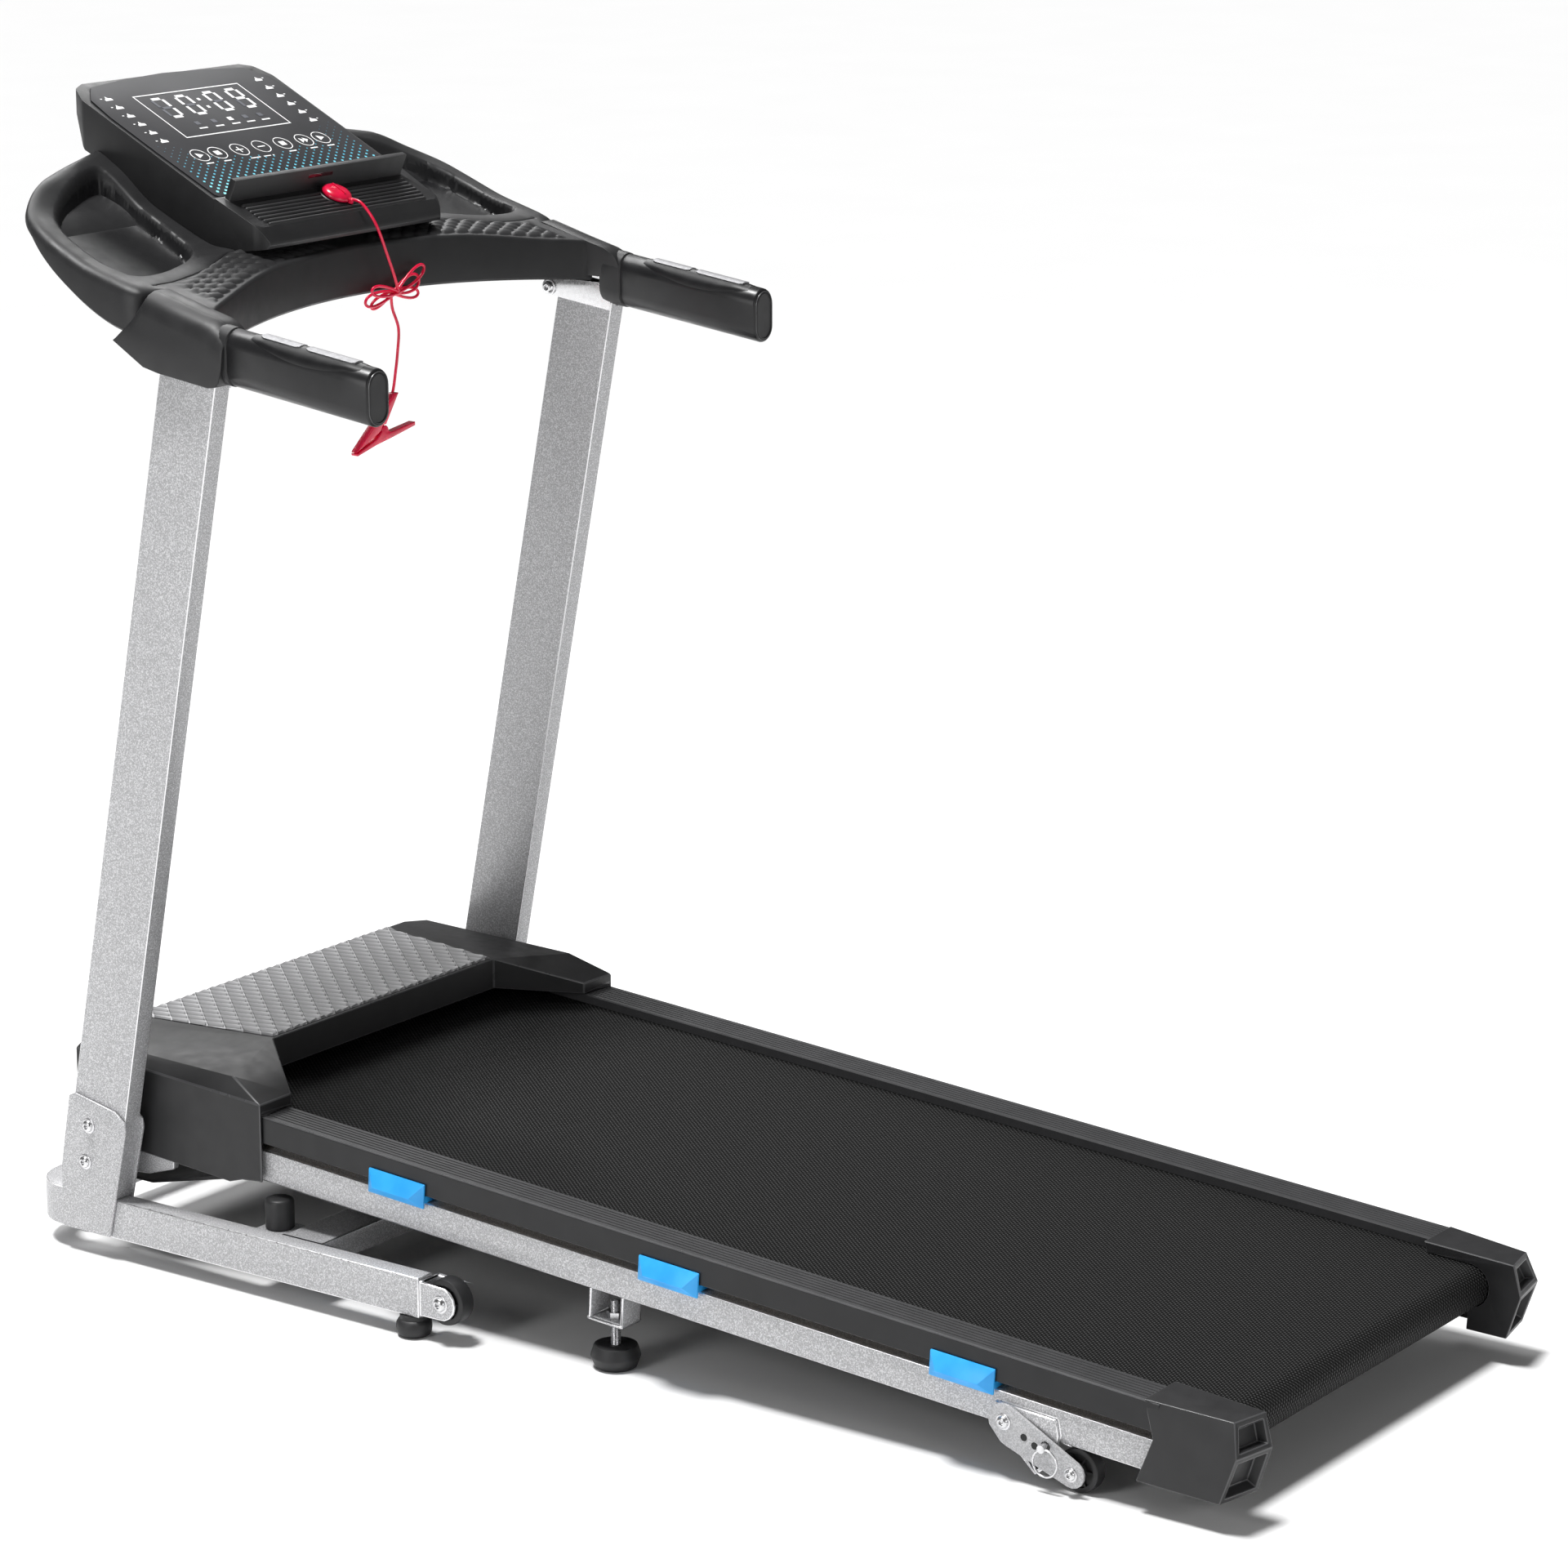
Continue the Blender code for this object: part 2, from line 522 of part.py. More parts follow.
def make_incline_leg(side, s, looks, hinge):
    (py, pz), (qy, qz), (wy, wz) = LEG_PIVOT, LEG_PIN, LEG_WHEEL
    plate = arc(py, pz, 0.0165, -20, 112, 7) + arc(wy, wz, 0.0130, 125, 290, 7)
    plate += [(py - 0.0025, pz - 0.0225), (py + 0.0040, pz - 0.0190)]
    leg = prism("incline_leg_" + side, plate, "X", *span(s, 0.2752, 0.2782), looks["steel"],
                parent=hinge, at=(s * 0.2752, py, pz))
    join(leg,
         rod("leg_pivot_" + side, span(s, 0.2625, 0.2800), (py, pz), 0.005, None,
             parent=hinge),
         rod("leg_axle_" + side, span(s, 0.2535, 0.2800), (wy, wz), 0.004, None, parent=hinge))
    cut(leg, rod("ring_pin_room_" + side, span(s, 0.270, 0.285), (qy, qz), 0.0048, None,
                 parent=hinge))
    tyre = [(0.0046, s * 0.2537), (0.0205, s * 0.2537), (0.0205, s * 0.2677),
            (0.0046, s * 0.2677)]
    turned("incline_wheel_" + side, tyre, "X", (0, wy, wz), looks["rubber"], closed=True,
           steps=28, parent=hinge, at=(s * 0.2607, wy, wz))
    pin = rod("ring_pin_" + side, span(s, 0.2640, 0.2860), (qy, qz), 0.0038, looks["steel"],
              parent=hinge, at=(s * 0.2640, qy, qz))
    ring_r, wire = 0.0125, 0.0012
    loop = [(ring_r + wire * math.cos(a), wire * math.sin(a) + s * 0.2845)
            for a in (math.radians(i * 60) for i in range(6))]
    ring = turned("pin_ring_" + side, loop, "X", (0, qy - 0.004, qz - ring_r), None,
                  closed=True, steps=24, parent=hinge)
    join(pin, ring)


# ------------------------------------------------------------------ motor hood and drive
def hood_solid(name, look, wall, low, **place):
    """The hood's outer shape, or its inside when wall is more than zero."""
    top = 0.2095 - wall
    out = 0.2770 - wall
    rear, front = 0.3710 + wall, 0.6120 - wall
    upper = [(0.2310 + 1.3 * wall, rear, 0.1815 - wall), (out, rear, 0.1810 - wall),
             (0.2643 - wall, 0.4150, 0.1985 - wall), (0.1724 + 1.3 * wall, 0.4446 + wall, top),
             (0.2280, front, top), (0.2643 - wall, front, 0.2030 - wall),
             (out, front, 0.1960 - wall)]
    lower = [(x, y, low) for x, y, z in (upper[0], upper[1], upper[3], upper[6])]
    half = upper + lower
    points = half + [(-x, y, z) for x, y, z in half]
    count = len(half)
    faces = [(3, 2, 5, 4), (2, 1, 6, 5), (3, 0, 2), (0, 1, 2), (1, 8, 10, 6), (0, 7, 8, 1),
             (3, 9, 7, 0)]
    faces += [tuple(i + count for i in face) for face in faces]
    faces = [part for face in faces for part in triangles(face)]
    faces += [(3, 4, 4 + count, 3 + count), (3, 9, 9 + count, 3 + count),
              (4, 5, 6, 10, 10 + count, 6 + count, 5 + count, 4 + count),
              (7, 8, 10, 10 + count, 8 + count, 7 + count, 9 + count, 9)]
    return finish(name, points, faces, look, smooth=False, **place)


def triangles(face):
    return [(face[0], face[i], face[i + 1]) for i in range(1, len(face) - 1)]


def make_hood(looks, hinge):
    top, wall = 0.2095, 0.0030
    place = {"parent": hinge}
    hood = hood_solid("motor_hood", looks["black"], 0.0, 0.0940, **place)
    room = hood_solid("hood_room", None, wall, 0.0500, **place)
    below = [(0.350, 0.040), (0.350, 0.1025), (0.378, 0.1025), (0.397, 0.1005),
             (0.413, 0.0955), (0.528, 0.1035), (0.650, 0.1035), (0.650, 0.040)]
    doorway = [(0.360, 0.030), (0.360, 0.1685), (0.4600, 0.1785), (0.4600, 0.030)]
    cut(hood, room, prism("hood_foot", below, "X", -0.3, 0.3, None, **place),
        prism("hood_doorway", doorway, "X", -0.2745, 0.2745, None, **place),
        box("switch_room", (-0.1410, -0.1190), (0.600, 0.620), (0.1430, 0.1570), None, **place))
    panel = [(0.170, 0.4475), (0.181, 0.515), (0.191, 0.587), (0.200, 0.6095)]
    outline = panel + [(-x, y) for x, y in reversed(panel)]
    prism("hood_panel", outline, "Z", top + GAP, 0.2115, looks["grey"], **place)
    pan = [(0.606, 0.0665), (0.530, 0.0665), (0.400, 0.0975), (0.396, 0.0975),
           (0.396, 0.1010), (0.4004, 0.1010), (0.5304, 0.0697), (0.606, 0.0697)]
    prism("motor_pan", pan, "X", -0.2600, 0.2600, looks["black"], **place)
    rocker = [(0.6135, 0.1440), (0.6145, 0.1500), (0.6165, 0.1560), (0.6050, 0.1560),
              (0.6050, 0.1440)]
    prism("power_switch", rocker, "X", -0.1403, -0.1197, looks["red"], parent=hinge,
          at=(-0.130, 0.6080, 0.1500))


def make_drive(looks, hinge, deck):
    case = [(0.030, -0.1880), (0.040, -0.1800), (0.040, 0.0300), (0.030, 0.0400)]
    turned("motor", case, "X", (0, *MOTOR), looks["steel"], parent=hinge,
           at=(-0.075, *MOTOR))
    pulley = [(0.005, -0.1883), (0.005, PULLEY_X[1]), (MOTOR_PULLEY_R, PULLEY_X[1]),
              (MOTOR_PULLEY_R, PULLEY_X[0])]
    turned("motor_pulley", pulley, "X", (0, *MOTOR), looks["steel"], parent=hinge,
           at=(-0.243, *MOTOR))
    ends = ((ROLLER_FRONT, ROLLER_Z), to_deck(*MOTOR))
    radii = (PULLEY_R + BELT_GAP, MOTOR_PULLEY_R + BELT_GAP)
    rings = []
    for x in (PULLEY_X[0] + GAP, PULLEY_X[1] - GAP):
        for t in (0.0, 0.0020):
            loop = band_outline(ends[0], radii[0] + t, ends[1], radii[1] + t, 14)
            rings.append([(x, *p) for p in loop])
    inner_low, outer_low, inner_high, outer_high = rings
    order = inner_low + outer_low + outer_high + inner_high
    finish("drive_belt", order, ring_faces(4, len(inner_low), True), looks["rubber"],
           parent=deck)


def make_strut(looks, hinge):
    """The gas strut that holds the folded deck, from the cross tube to the deck."""
    foot, eye = Vector(STRUT_FOOT), Vector(STRUT_EYE)
    along = (eye - foot).normalized()
    lean = math.atan2(along.y, -along.x)
    length = (eye - foot).length
    axis = group("strut_axis", (0, *STRUT_FOOT), -lean, own=(0, 0, 0))
    body = turned("gas_cylinder", [(0.0100, -0.0060), (0.0100, -0.2650)], "Y", (0, 0, 0),
                  looks["black"], parent=axis, steps=16)
    join(body, rod("cylinder_eye", (-0.0085, 0.0085), (0, 0), 0.0095, None, parent=axis))
    cut(body,
        rod("cylinder_bore", (-0.012, 0.012), (0, 0), 0.0047, None, parent=axis),
        turned("rod_room", [(0.0047, -0.022), (0.0047, -0.280)], "Y", (0, 0, 0), None,
               parent=axis, steps=16))
    piston = turned("gas_rod", [(0.0040, -0.026), (0.0040, -length + 0.006)], "Y",
                    (0, 0, 0), looks["steel"], parent=axis, steps=16)
    join(piston, rod("rod_eye", (-0.0070, 0.0070), (-length, 0), 0.0080, None, parent=axis))


# ------------------------------------------------------------------ console
# Side profile of the wing: top from the arch forward, and underside.
WING_TOP = [(0.370, 0.9425), (0.386, 0.9475), (0.472, 0.9685), (0.530, 0.9845),
            (0.570, 1.0015), (0.610, 1.0205), (0.640, 1.0365), (0.670, 1.0545),
            (0.700, 1.0675)]
WING_LOW = [(0.700, 1.0500), (0.610, 1.0100), (0.596, 0.9950), (0.577, 0.9785),
            (0.549, 0.9595), (0.521, 0.9425), (0.490, 0.9285), (0.370, 0.9050)]
ARCH_R, ARCH_Y = 0.628, 0.462


def wing_top(y):
    for (y0, z0), (y1, z1) in zip(WING_TOP, WING_TOP[1:]):
        if y <= y1:
            return z0 + (z1 - z0) * (y - y0) / (y1 - y0)
    return WING_TOP[-1][1]


def arch(x):
    """Y of the arch's rear edge."""
    return ARCH_Y - ARCH_R + math.sqrt(ARCH_R ** 2 - x ** 2)


def wing_outline(inset=0.0):
    """Plan of the whole wing."""
    edge = [(0.305, 0.470), (0.3155, 0.476), (0.3165, 0.525), (0.3130, 0.575), (0.3060, 0.606),
            (0.2900, 0.627), (0.2600, 0.643), (0.2300, 0.653), (0.1810, 0.668), (0.100, 0.690)]
    rear = [(x, arch(x)) for x in (0.0, 0.06, 0.12, 0.18, 0.23, COLLAR_IN - GAP)]
    rear.append((COLLAR_IN - GAP, 0.470))
    half = [(max(0.0, x - inset), y - inset if y > 0.5 else y) for x, y in rear + edge]
    return half + [(-x, y) for x, y in reversed(half[1:])]


def make_console(looks):
    black = looks["black"]
    shell = prism("console_lower_shell", WING_TOP + WING_LOW, "X", -0.33, 0.33, black)
    use(shell, prism("wing_plan", wing_outline(), "Z", 0.85, 1.15, None), "INTERSECT")
    seam = [(0.0, 0.500), (0.150, 0.500), (0.200, 0.478), (0.260, 0.468), (0.330, 0.468)]
    seam += [(-x, y) for x, y in reversed(seam[1:])]
    band_side = seam[:5] + [(0.330, 0.300), (-0.330, 0.300)] + seam[5:]
    cut(shell, prism("band_room", band_side, "Z", 0.80, 1.20, None))
    band = prism("console_upper_shell", WING_TOP + WING_LOW, "X", -COLLAR_IN + GAP,
                 COLLAR_IN - GAP, black)
    plan = [(x, arch(abs(x))) for x in arch_steps()] + list(reversed(band_front(seam)))
    use(band, prism("band_plan", plan, "Z", 0.85, 1.15, None), "INTERSECT")
    cut(shell, *[tray_room(side, s) for side, s in SIDES])
    bar = [(0.4697, 0.9277), (0.4863, 0.9277), (0.4863, 0.9443), (0.4697, 0.9443)]
    bar_room = prism("bar_room", bar, "X", -0.3065, 0.3065, None)
    clear = [(0.300, 1.200), (0.4551, 1.200), (0.4551, 0.9660), (0.4682, 0.9504),
             (0.4932, 0.9178), (0.4932, 0.850), (0.300, 0.850)]
    cut(shell, bar_room, *[prism("collar_room_" + side, clear, "X", *span(s, 0.2812, 0.35),
                                 None) for side, s in SIDES])
    cut(band, bar_room)
    make_head(looks)
    for side, s in SIDES:
        make_collar(side, s, looks)
        make_grip(side, s, looks)
    make_handlebar(looks)


def arch_steps():
    edge = COLLAR_IN - GAP
    return [-edge] + [i * 0.047 for i in range(-5, 6)] + [edge]


def band_front(seam):
    """The band's front edge, a clearance behind the seam."""
    pairs = sorted(set(seam))
    edge = COLLAR_IN - GAP
    inside = [(x, y - GAP) for x, y in pairs if abs(x) < edge]
    return [(-edge, 0.468 - GAP)] + inside + [(edge, 0.468 - GAP)]


def tray_room(side, s):
    """The open tray beside the head."""
    outline = [(0.172, 0.508), (0.285, 0.478), (0.289, 0.520), (0.285, 0.572), (0.275, 0.600),
               (0.250, 0.620), (0.165, 0.655), (0.155, 0.640), (0.160, 0.570)]
    outline = rounded(outline, 0.010, 2)
    floor = [(s * x, y, 0.9480 + 0.42 * (y - 0.478)) for x, y in outline]
    lid = [(s * x, y, 1.20) for x, y in outline]
    return loft("tray_room_" + side, [floor, lid], None)


def on_plane(y, lift=0.0):
    """Height of the display plane, raised square to it."""
    return PLANE_Z + PLANE_RISE * (y - PLANE_Y) + lift * math.hypot(1, PLANE_RISE)


def make_head(looks):
    deep = 0.0013
    top = [(0.4610, 0.9880), (0.4700, on_plane(0.4700)), (0.5208, on_plane(0.5208)),
           (0.5208, on_plane(0.5208, -deep)), (0.7140, on_plane(0.7140, -deep)),
           (0.7190, 1.1180), (0.7060, 1.0955), (0.6900, 1.0640)]
    low = [(y, wing_top(y) + GAP * 1.5) for y in (0.670, 0.640, 0.610, 0.570, 0.530, 0.490)]
    low += [(0.4860, 0.9805), (0.4640, 0.9830)]
    head = prism("display_housing", top + low, "X", -HEAD_HALF, HEAD_HALF, looks["black"])
    plan = [(-0.128, 0.462), (0.128, 0.462), (0.136, 0.470), (0.140, 0.520), (0.140, 0.690),
            (0.130, 0.708), (0.100, 0.720)]
    plan += [(-x, y) for x, y in reversed(plan[2:])]
    use(head, prism("head_plan", plan, "Z", 0.9, 1.2, None), "INTERSECT")
    ditch = [(0.560, on_plane(0.560, -0.016)), (0.700, on_plane(0.700, -0.016)),
             (0.700, 1.25), (0.560, 1.25)]
    cut(head, prism("head_room", ditch, "X", -0.118, 0.118, None))
    fence = [(0.5140, on_plane(0.5140, -0.003)), (0.5195, on_plane(0.5195, -0.003)),
             (0.5120, 1.0455), (0.5095, 1.0475), (0.5040, 1.0455)]
    join(head, prism("tablet_fence", fence, "X", -0.1275, 0.1275, None))
    tilt = math.atan(PLANE_RISE)
    centre = (0.0, 0.6305, on_plane(0.6305))
    display = group("display_plane", centre, tilt)
    far = 1.0 / math.cos(tilt)
    board = [(x, y) for x, y in ((-0.110, -0.062), (0.110, -0.062), (0.110, 0.062),
                                 (-0.110, 0.062))]
    prism("control_board", board, "Z", -0.0110, -0.0094, looks["board"], parent=display)
    sheet = [(0.0, 0.5215), (0.131, 0.5215), (0.1345, 0.5250), (0.136, 0.598),
             (0.136, 0.658), (0.132, 0.687), (0.112, 0.7055), (0.060, 0.711), (0.0, 0.7135)]
    half = [(x, (y - centre[1]) * far) for x, y in sheet]
    outline = half + [(-x, y) for x, y in reversed(half[1:-1])]
    prism("touch_overlay", outline, "Z", -0.0010, 0.0, looks["grey"], parent=display)


def make_collar(side, s, looks):
    """The cover round the upright's head and the root of the grip."""
    shape = [(0.356, 0.9275), (0.364, 0.9400), (0.386, 0.9475), (0.4545, 0.9655),
             (0.4675, 0.9500), (0.4925, 0.9175), (0.4550, 0.8955), (0.4370, 0.8915),
             (0.3750, 0.8835), (0.3620, 0.8880), (0.3580, 0.9025)]
    cover = prism("side_cover_" + side, shape, "X", *span(s, COLLAR_IN, COLLAR_OUT),
                  looks["black"])
    slack = 0.0006
    post = [(front_edge(0.85) - UPRIGHT_DEPTH - slack, 0.85), (front_edge(0.85) + slack, 0.85),
            (front_edge(0.900) + slack, 0.900), (front_edge(0.900) - UPRIGHT_DEPTH - slack, 0.900)]
    cut(cover,
        prism("post_room_" + side, post, "X",
              *span(s, BASE_HALF - TUBE - GAP, BASE_HALF + GAP), None),
        loft("arm_room_" + side, arm_sections(s, 0.340, 0.500, slack), None),
        box("bar_way_" + side, span(s, 0.275, 0.3065), (0.4697, 0.4863), (0.9277, 0.9443),
            None))


def arm_sections(s, rear, front, slack):
    """The handlebar arm's rectangular section at two stations."""
    rings = []
    for y in (rear, front):
        z = GRIP_REAR_Z + GRIP_SLOPE * (y - GRIP_REAR) + 0.004
        w, h = 0.008 + slack, 0.009 + slack
        rings.append([(s * GRIP_X - w, y, z - h), (s * GRIP_X + w, y, z - h),
                      (s * GRIP_X + w, y, z + h), (s * GRIP_X - w, y, z + h)])
    return rings


def make_handlebar(looks):
    frame = box("handlebar_frame", (-0.3045, 0.3045), (0.4705, 0.4855), (0.9285, 0.9435),
                looks["steel"])
    for side, s in SIDES:
        join(frame, loft("arm_" + side, arm_sections(s, 0.200, 0.4800, 0.0), None))


def make_grip(side, s, looks):
    """A stadium sleeve over the handlebar arm."""
    half = GRIP_H / 2 - GRIP_W / 2
    section = (arc(0, half, GRIP_W / 2, 0, 180, 8) + arc(0, -half, GRIP_W / 2, 180, 360, 8))
    rings = []
    for y in (GRIP_REAR, GRIP_FRONT - 0.0175):
        z = GRIP_REAR_Z + GRIP_SLOPE * (y - GRIP_REAR)
        rings.append([(s * GRIP_X + x, y, z + up) for x, up in section])
    grip = loft("grip_" + side, rings, looks["rubber"])
    cut(grip, loft("sleeve_" + side, arm_sections(s, 0.1985, 0.400, 0.0006), None))


# ------------------------------------------------------------------ safety key and clip
def make_key(looks):
    red = looks["red"]
    tilt = math.atan(PLANE_RISE)
    spot = (0.007, 0.495, on_plane(0.495))
    seat = group("key_axis", spot, tilt)
    turned("key_seat", [(0.0175, GAP), (0.0165, 0.0022)], "Z", (0, 0, 0), looks["black"],
           parent=seat, steps=24)
    knob = [(0.0140, 0.0025), (0.0150, 0.0045), (0.0120, 0.0085), (0.0060, 0.0105)]
    turned("safety_key", knob, "Z", (0, 0, 0), red, parent=seat, steps=24)
    upper = [(0.0113, 0.4790, 1.0152), (0.0125, 0.4680, 1.0130), (0.0130, 0.4570, 1.0030),
             (0.0130, HANG_Y, 0.9880), (0.0250, HANG_Y, 0.9620), (0.0372, HANG_Y, 0.9389)]
    upper = [Vector(point) for point in upper]
    tube("key_cord_upper", smooth_route(upper, 0.0045), CORD_R, red)
    bow = (arc(0.0085, 0.9225, 0.0165, 60, 300, 8)
           + arc(0.0735, 0.9245, 0.0165, 240, 480, 8))
    prism("key_cord_bow", bow, "Y", HANG_Y - 0.0045, HANG_Y + 0.0035, red)
    low = [(0.0405, HANG_Y, 0.9085), (0.0450, HANG_Y, 0.8855), (0.0400, HANG_Y, 0.8445),
           (0.0350, HANG_Y, 0.8245)]
    low = [Vector(point) for point in low]
    tube("key_cord_lower", smooth_route(low, 0.0055), CORD_R, red)
    make_clip(red)


CLIP_PIVOT = (0.0170, 0.7885)


def make_clip(red):
    """A sprung clip: its jaws meet at the tip and turn about one pin."""
    px, pz = CLIP_PIVOT
    y = (HANG_Y - 0.0050, HANG_Y + 0.0035)
    back = [(-0.0270, 0.7722), (-0.0010, 0.7940), (0.0310, 0.8235), (0.0385, 0.8235)]
    back += arc(px, pz, 0.0060, 75, 175, 6) + [(-0.0010, 0.7832)]
    prism("clip_back_jaw", back, "Y", *y, red)
    front = [(-0.0265, 0.7710), (-0.0255, 0.7685), (0.0030, 0.7755), (0.0280, 0.7800),
             (0.0630, 0.7870), (0.0630, 0.7910), (0.0260, 0.7860)]
    front += arc(px, pz, 0.0050, -10, 185, 8) + [(0.0030, 0.7815)]
    prism("clip_front_jaw", front, "Y", *y, red, at=(px, HANG_Y, pz))


def main():
    for old in list(bpy.data.objects):
        bpy.data.objects.remove(old, do_unlink=True)
    looks = make_materials()
    make_base(looks)
    make_deck(looks)
    make_console(looks)
    make_key(looks)
    for piece in bpy.data.objects:
        if piece.parent is None:
            piece.location.y += CENTRING


main()
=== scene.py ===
"""Looks of a folding home treadmill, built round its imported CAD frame.

Metres, +Z up, +Y the way the walker faces, +X the walker's right. The deck's own frame leans
3.7 degrees about X; deck pieces are made in it and then placed.
"""
import json
import math

import bmesh
import bpy
import numpy as np
from mathutils import Matrix, Vector
from mathutils.geometry import delaunay_2d_cdt

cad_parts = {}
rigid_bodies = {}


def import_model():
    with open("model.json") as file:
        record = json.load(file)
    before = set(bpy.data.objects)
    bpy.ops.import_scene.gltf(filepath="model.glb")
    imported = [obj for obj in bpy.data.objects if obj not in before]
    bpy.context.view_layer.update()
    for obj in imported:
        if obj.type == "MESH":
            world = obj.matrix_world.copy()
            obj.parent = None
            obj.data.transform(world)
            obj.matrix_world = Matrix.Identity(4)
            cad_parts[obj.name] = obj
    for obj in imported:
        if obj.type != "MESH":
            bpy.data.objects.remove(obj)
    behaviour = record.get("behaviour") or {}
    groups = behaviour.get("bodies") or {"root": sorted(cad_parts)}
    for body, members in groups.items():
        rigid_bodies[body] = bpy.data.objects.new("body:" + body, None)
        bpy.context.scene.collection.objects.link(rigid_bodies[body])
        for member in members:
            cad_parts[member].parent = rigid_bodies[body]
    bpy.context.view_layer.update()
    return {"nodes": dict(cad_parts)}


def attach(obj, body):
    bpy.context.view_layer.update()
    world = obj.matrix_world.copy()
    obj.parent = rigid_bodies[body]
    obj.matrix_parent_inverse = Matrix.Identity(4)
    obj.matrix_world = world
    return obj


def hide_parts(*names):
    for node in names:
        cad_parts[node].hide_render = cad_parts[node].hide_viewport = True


for old in list(bpy.data.objects):
    bpy.data.objects.remove(old, do_unlink=True)

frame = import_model()
NODES = frame["nodes"]
SIDES = (("left", -1), ("right", 1))
SHIFT = 0.0033               # the whole machine stands this far forward of its drawing
TILT = math.radians(3.713)
DECK = Matrix.Translation((0, SHIFT, 0.1446)) @ Matrix.Rotation(TILT, 4, "X")
RISE = 0.497                 # slope of the display plane


# ------------------------------------------------------------------ camera and light
def add_camera():
    azimuth, elevation = math.radians(-54.3501), math.radians(14.1934)
    back = Vector((math.sin(azimuth) * math.cos(elevation),
                   -math.cos(azimuth) * math.cos(elevation), math.sin(elevation)))
    data = bpy.data.cameras.new("camera")
    data.sensor_width, data.lens = 36, 114.860
    data.clip_start, data.clip_end = 0.1, 100
    camera = bpy.data.objects.new("camera", data)
    camera.location = (-3.7126, -2.7105, 1.6607)
    camera.rotation_mode = "QUATERNION"
    camera.rotation_quaternion = (-back).to_track_quat("-Z", "Y")
    bpy.context.scene.collection.objects.link(camera)
    bpy.context.scene.camera = camera


def area_light(name, place, target, size, power, colour=(1, 1, 1)):
    data = bpy.data.lights.new(name, "AREA")
    data.shape, data.size, data.size_y = "RECTANGLE", size[0], size[1]
    data.energy, data.color = power, colour
    light = bpy.data.objects.new(name, data)
    light.location = place
    light.rotation_mode = "QUATERNION"
    light.rotation_quaternion = (Vector(target) - Vector(place)).to_track_quat("-Z", "Y")
    bpy.context.scene.collection.objects.link(light)


def add_light():
    sun = bpy.data.lights.new("sun", "SUN")
    sun.energy, sun.angle = 3.75, math.radians(13)
    lamp = bpy.data.objects.new("sun", sun)
    lamp.rotation_mode = "QUATERNION"
    lamp.rotation_quaternion = Vector((0.11, -0.15, -1.0)).to_track_quat("-Z", "Y")
    bpy.context.scene.collection.objects.link(lamp)
    area_light("softbox_left", (-3.4, 0.5, 1.5), (0, 0, 0.5), (0.9, 1.5), 26)
    area_light("softbox_rear", (-0.9, -3.4, 1.3), (0, 0, 0.4), (1.6, 0.8), 16)
    area_light("softbox_front", (1.4, 2.5, 2.9), (0, 0.2, 0.5), (2.6, 1.3), 60)
    world = bpy.data.worlds.new("studio")
    bpy.context.scene.world = world
    world.use_nodes = True
    background = world.node_tree.nodes["Background"]
    background.inputs["Color"].default_value = (1, 1, 1, 1)
    background.inputs["Strength"].default_value = 0.10
    bpy.context.scene.view_settings.view_transform = "Standard"


# ------------------------------------------------------------------ materials
class Look:
    """A Principled material with a small node graph, in object or UV coordinates."""

    def __init__(self, name, colour, roughness, metallic=0.0, specular=0.5, coat=0.0,
                 coat_roughness=0.1):
        self.material = bpy.data.materials.new(name)
        self.material.use_nodes = True
        self.tree = self.material.node_tree
        self.shader = self.tree.nodes["Principled BSDF"]
        self.set("Base Color", (*colour, 1))
        self.set("Roughness", roughness)
        self.set("Metallic", metallic)
        self.set("Specular IOR Level", specular)
        self.set("Coat Weight", coat)
        self.set("Coat Roughness", coat_roughness)
        self.material.diffuse_color = (*colour, 1)
        self.height = None

    def set(self, socket, value):
        self.shader.inputs[socket].default_value = value

    def place(self, uv=False):
        return self.tree.nodes.new("ShaderNodeTexCoord").outputs["UV" if uv else "Object"]

    def noise(self, scale, detail=2.0, roughness=0.5):
        made = self.tree.nodes.new("ShaderNodeTexNoise")
        made.inputs["Scale"].default_value = scale
        made.inputs["Detail"].default_value = detail
        made.inputs["Roughness"].default_value = roughness
        self.tree.links.new(self.place(), made.inputs["Vector"])
        return made.outputs["Fac"]

    def ramp(self, value, stops):
        made = self.tree.nodes.new("ShaderNodeValToRGB")
        ramp = made.color_ramp
        while len(ramp.elements) < len(stops):
            ramp.elements.new(0.5)
        for element, (at, colour) in zip(ramp.elements, stops):
            element.position = at
            element.color = (*colour, 1)
        self.tree.links.new(value, made.inputs["Fac"])
        return made.outputs["Color"]

    def math(self, operation, a, b=0.0, clamp=False):
        made = self.tree.nodes.new("ShaderNodeMath")
        made.operation, made.use_clamp = operation, clamp
        for socket, value in zip(made.inputs, (a, b)):
            if isinstance(value, (int, float)):
                socket.default_value = value
            else:
                self.tree.links.new(value, socket)
        return made.outputs[0]

    def split(self, vector):
        made = self.tree.nodes.new("ShaderNodeSeparateXYZ")
        self.tree.links.new(vector, made.inputs[0])
        return made.outputs

    def link(self, value, socket):
        self.tree.links.new(value, self.shader.inputs[socket])

    def mottle(self, socket, scale, detail, low, high, edges=(0.3, 0.7)):
        """Drive a socket by noise between two colours, or two numbers."""
        ends = [v if isinstance(v, tuple) else (v,) * 3 for v in (low, high)]
        self.link(self.ramp(self.noise(scale, detail), list(zip(edges, ends))), socket)

    def bump(self, value, distance, strength=1.0):
        made = self.tree.nodes.new("ShaderNodeBump")
        made.inputs["Strength"].default_value = strength
        made.inputs["Distance"].default_value = distance
        self.tree.links.new(value, made.inputs["Height"])
        if self.height is not None:
            self.tree.links.new(self.height, made.inputs["Normal"])
        self.height = made.outputs["Normal"]
        self.tree.links.new(self.height, self.shader.inputs["Normal"])


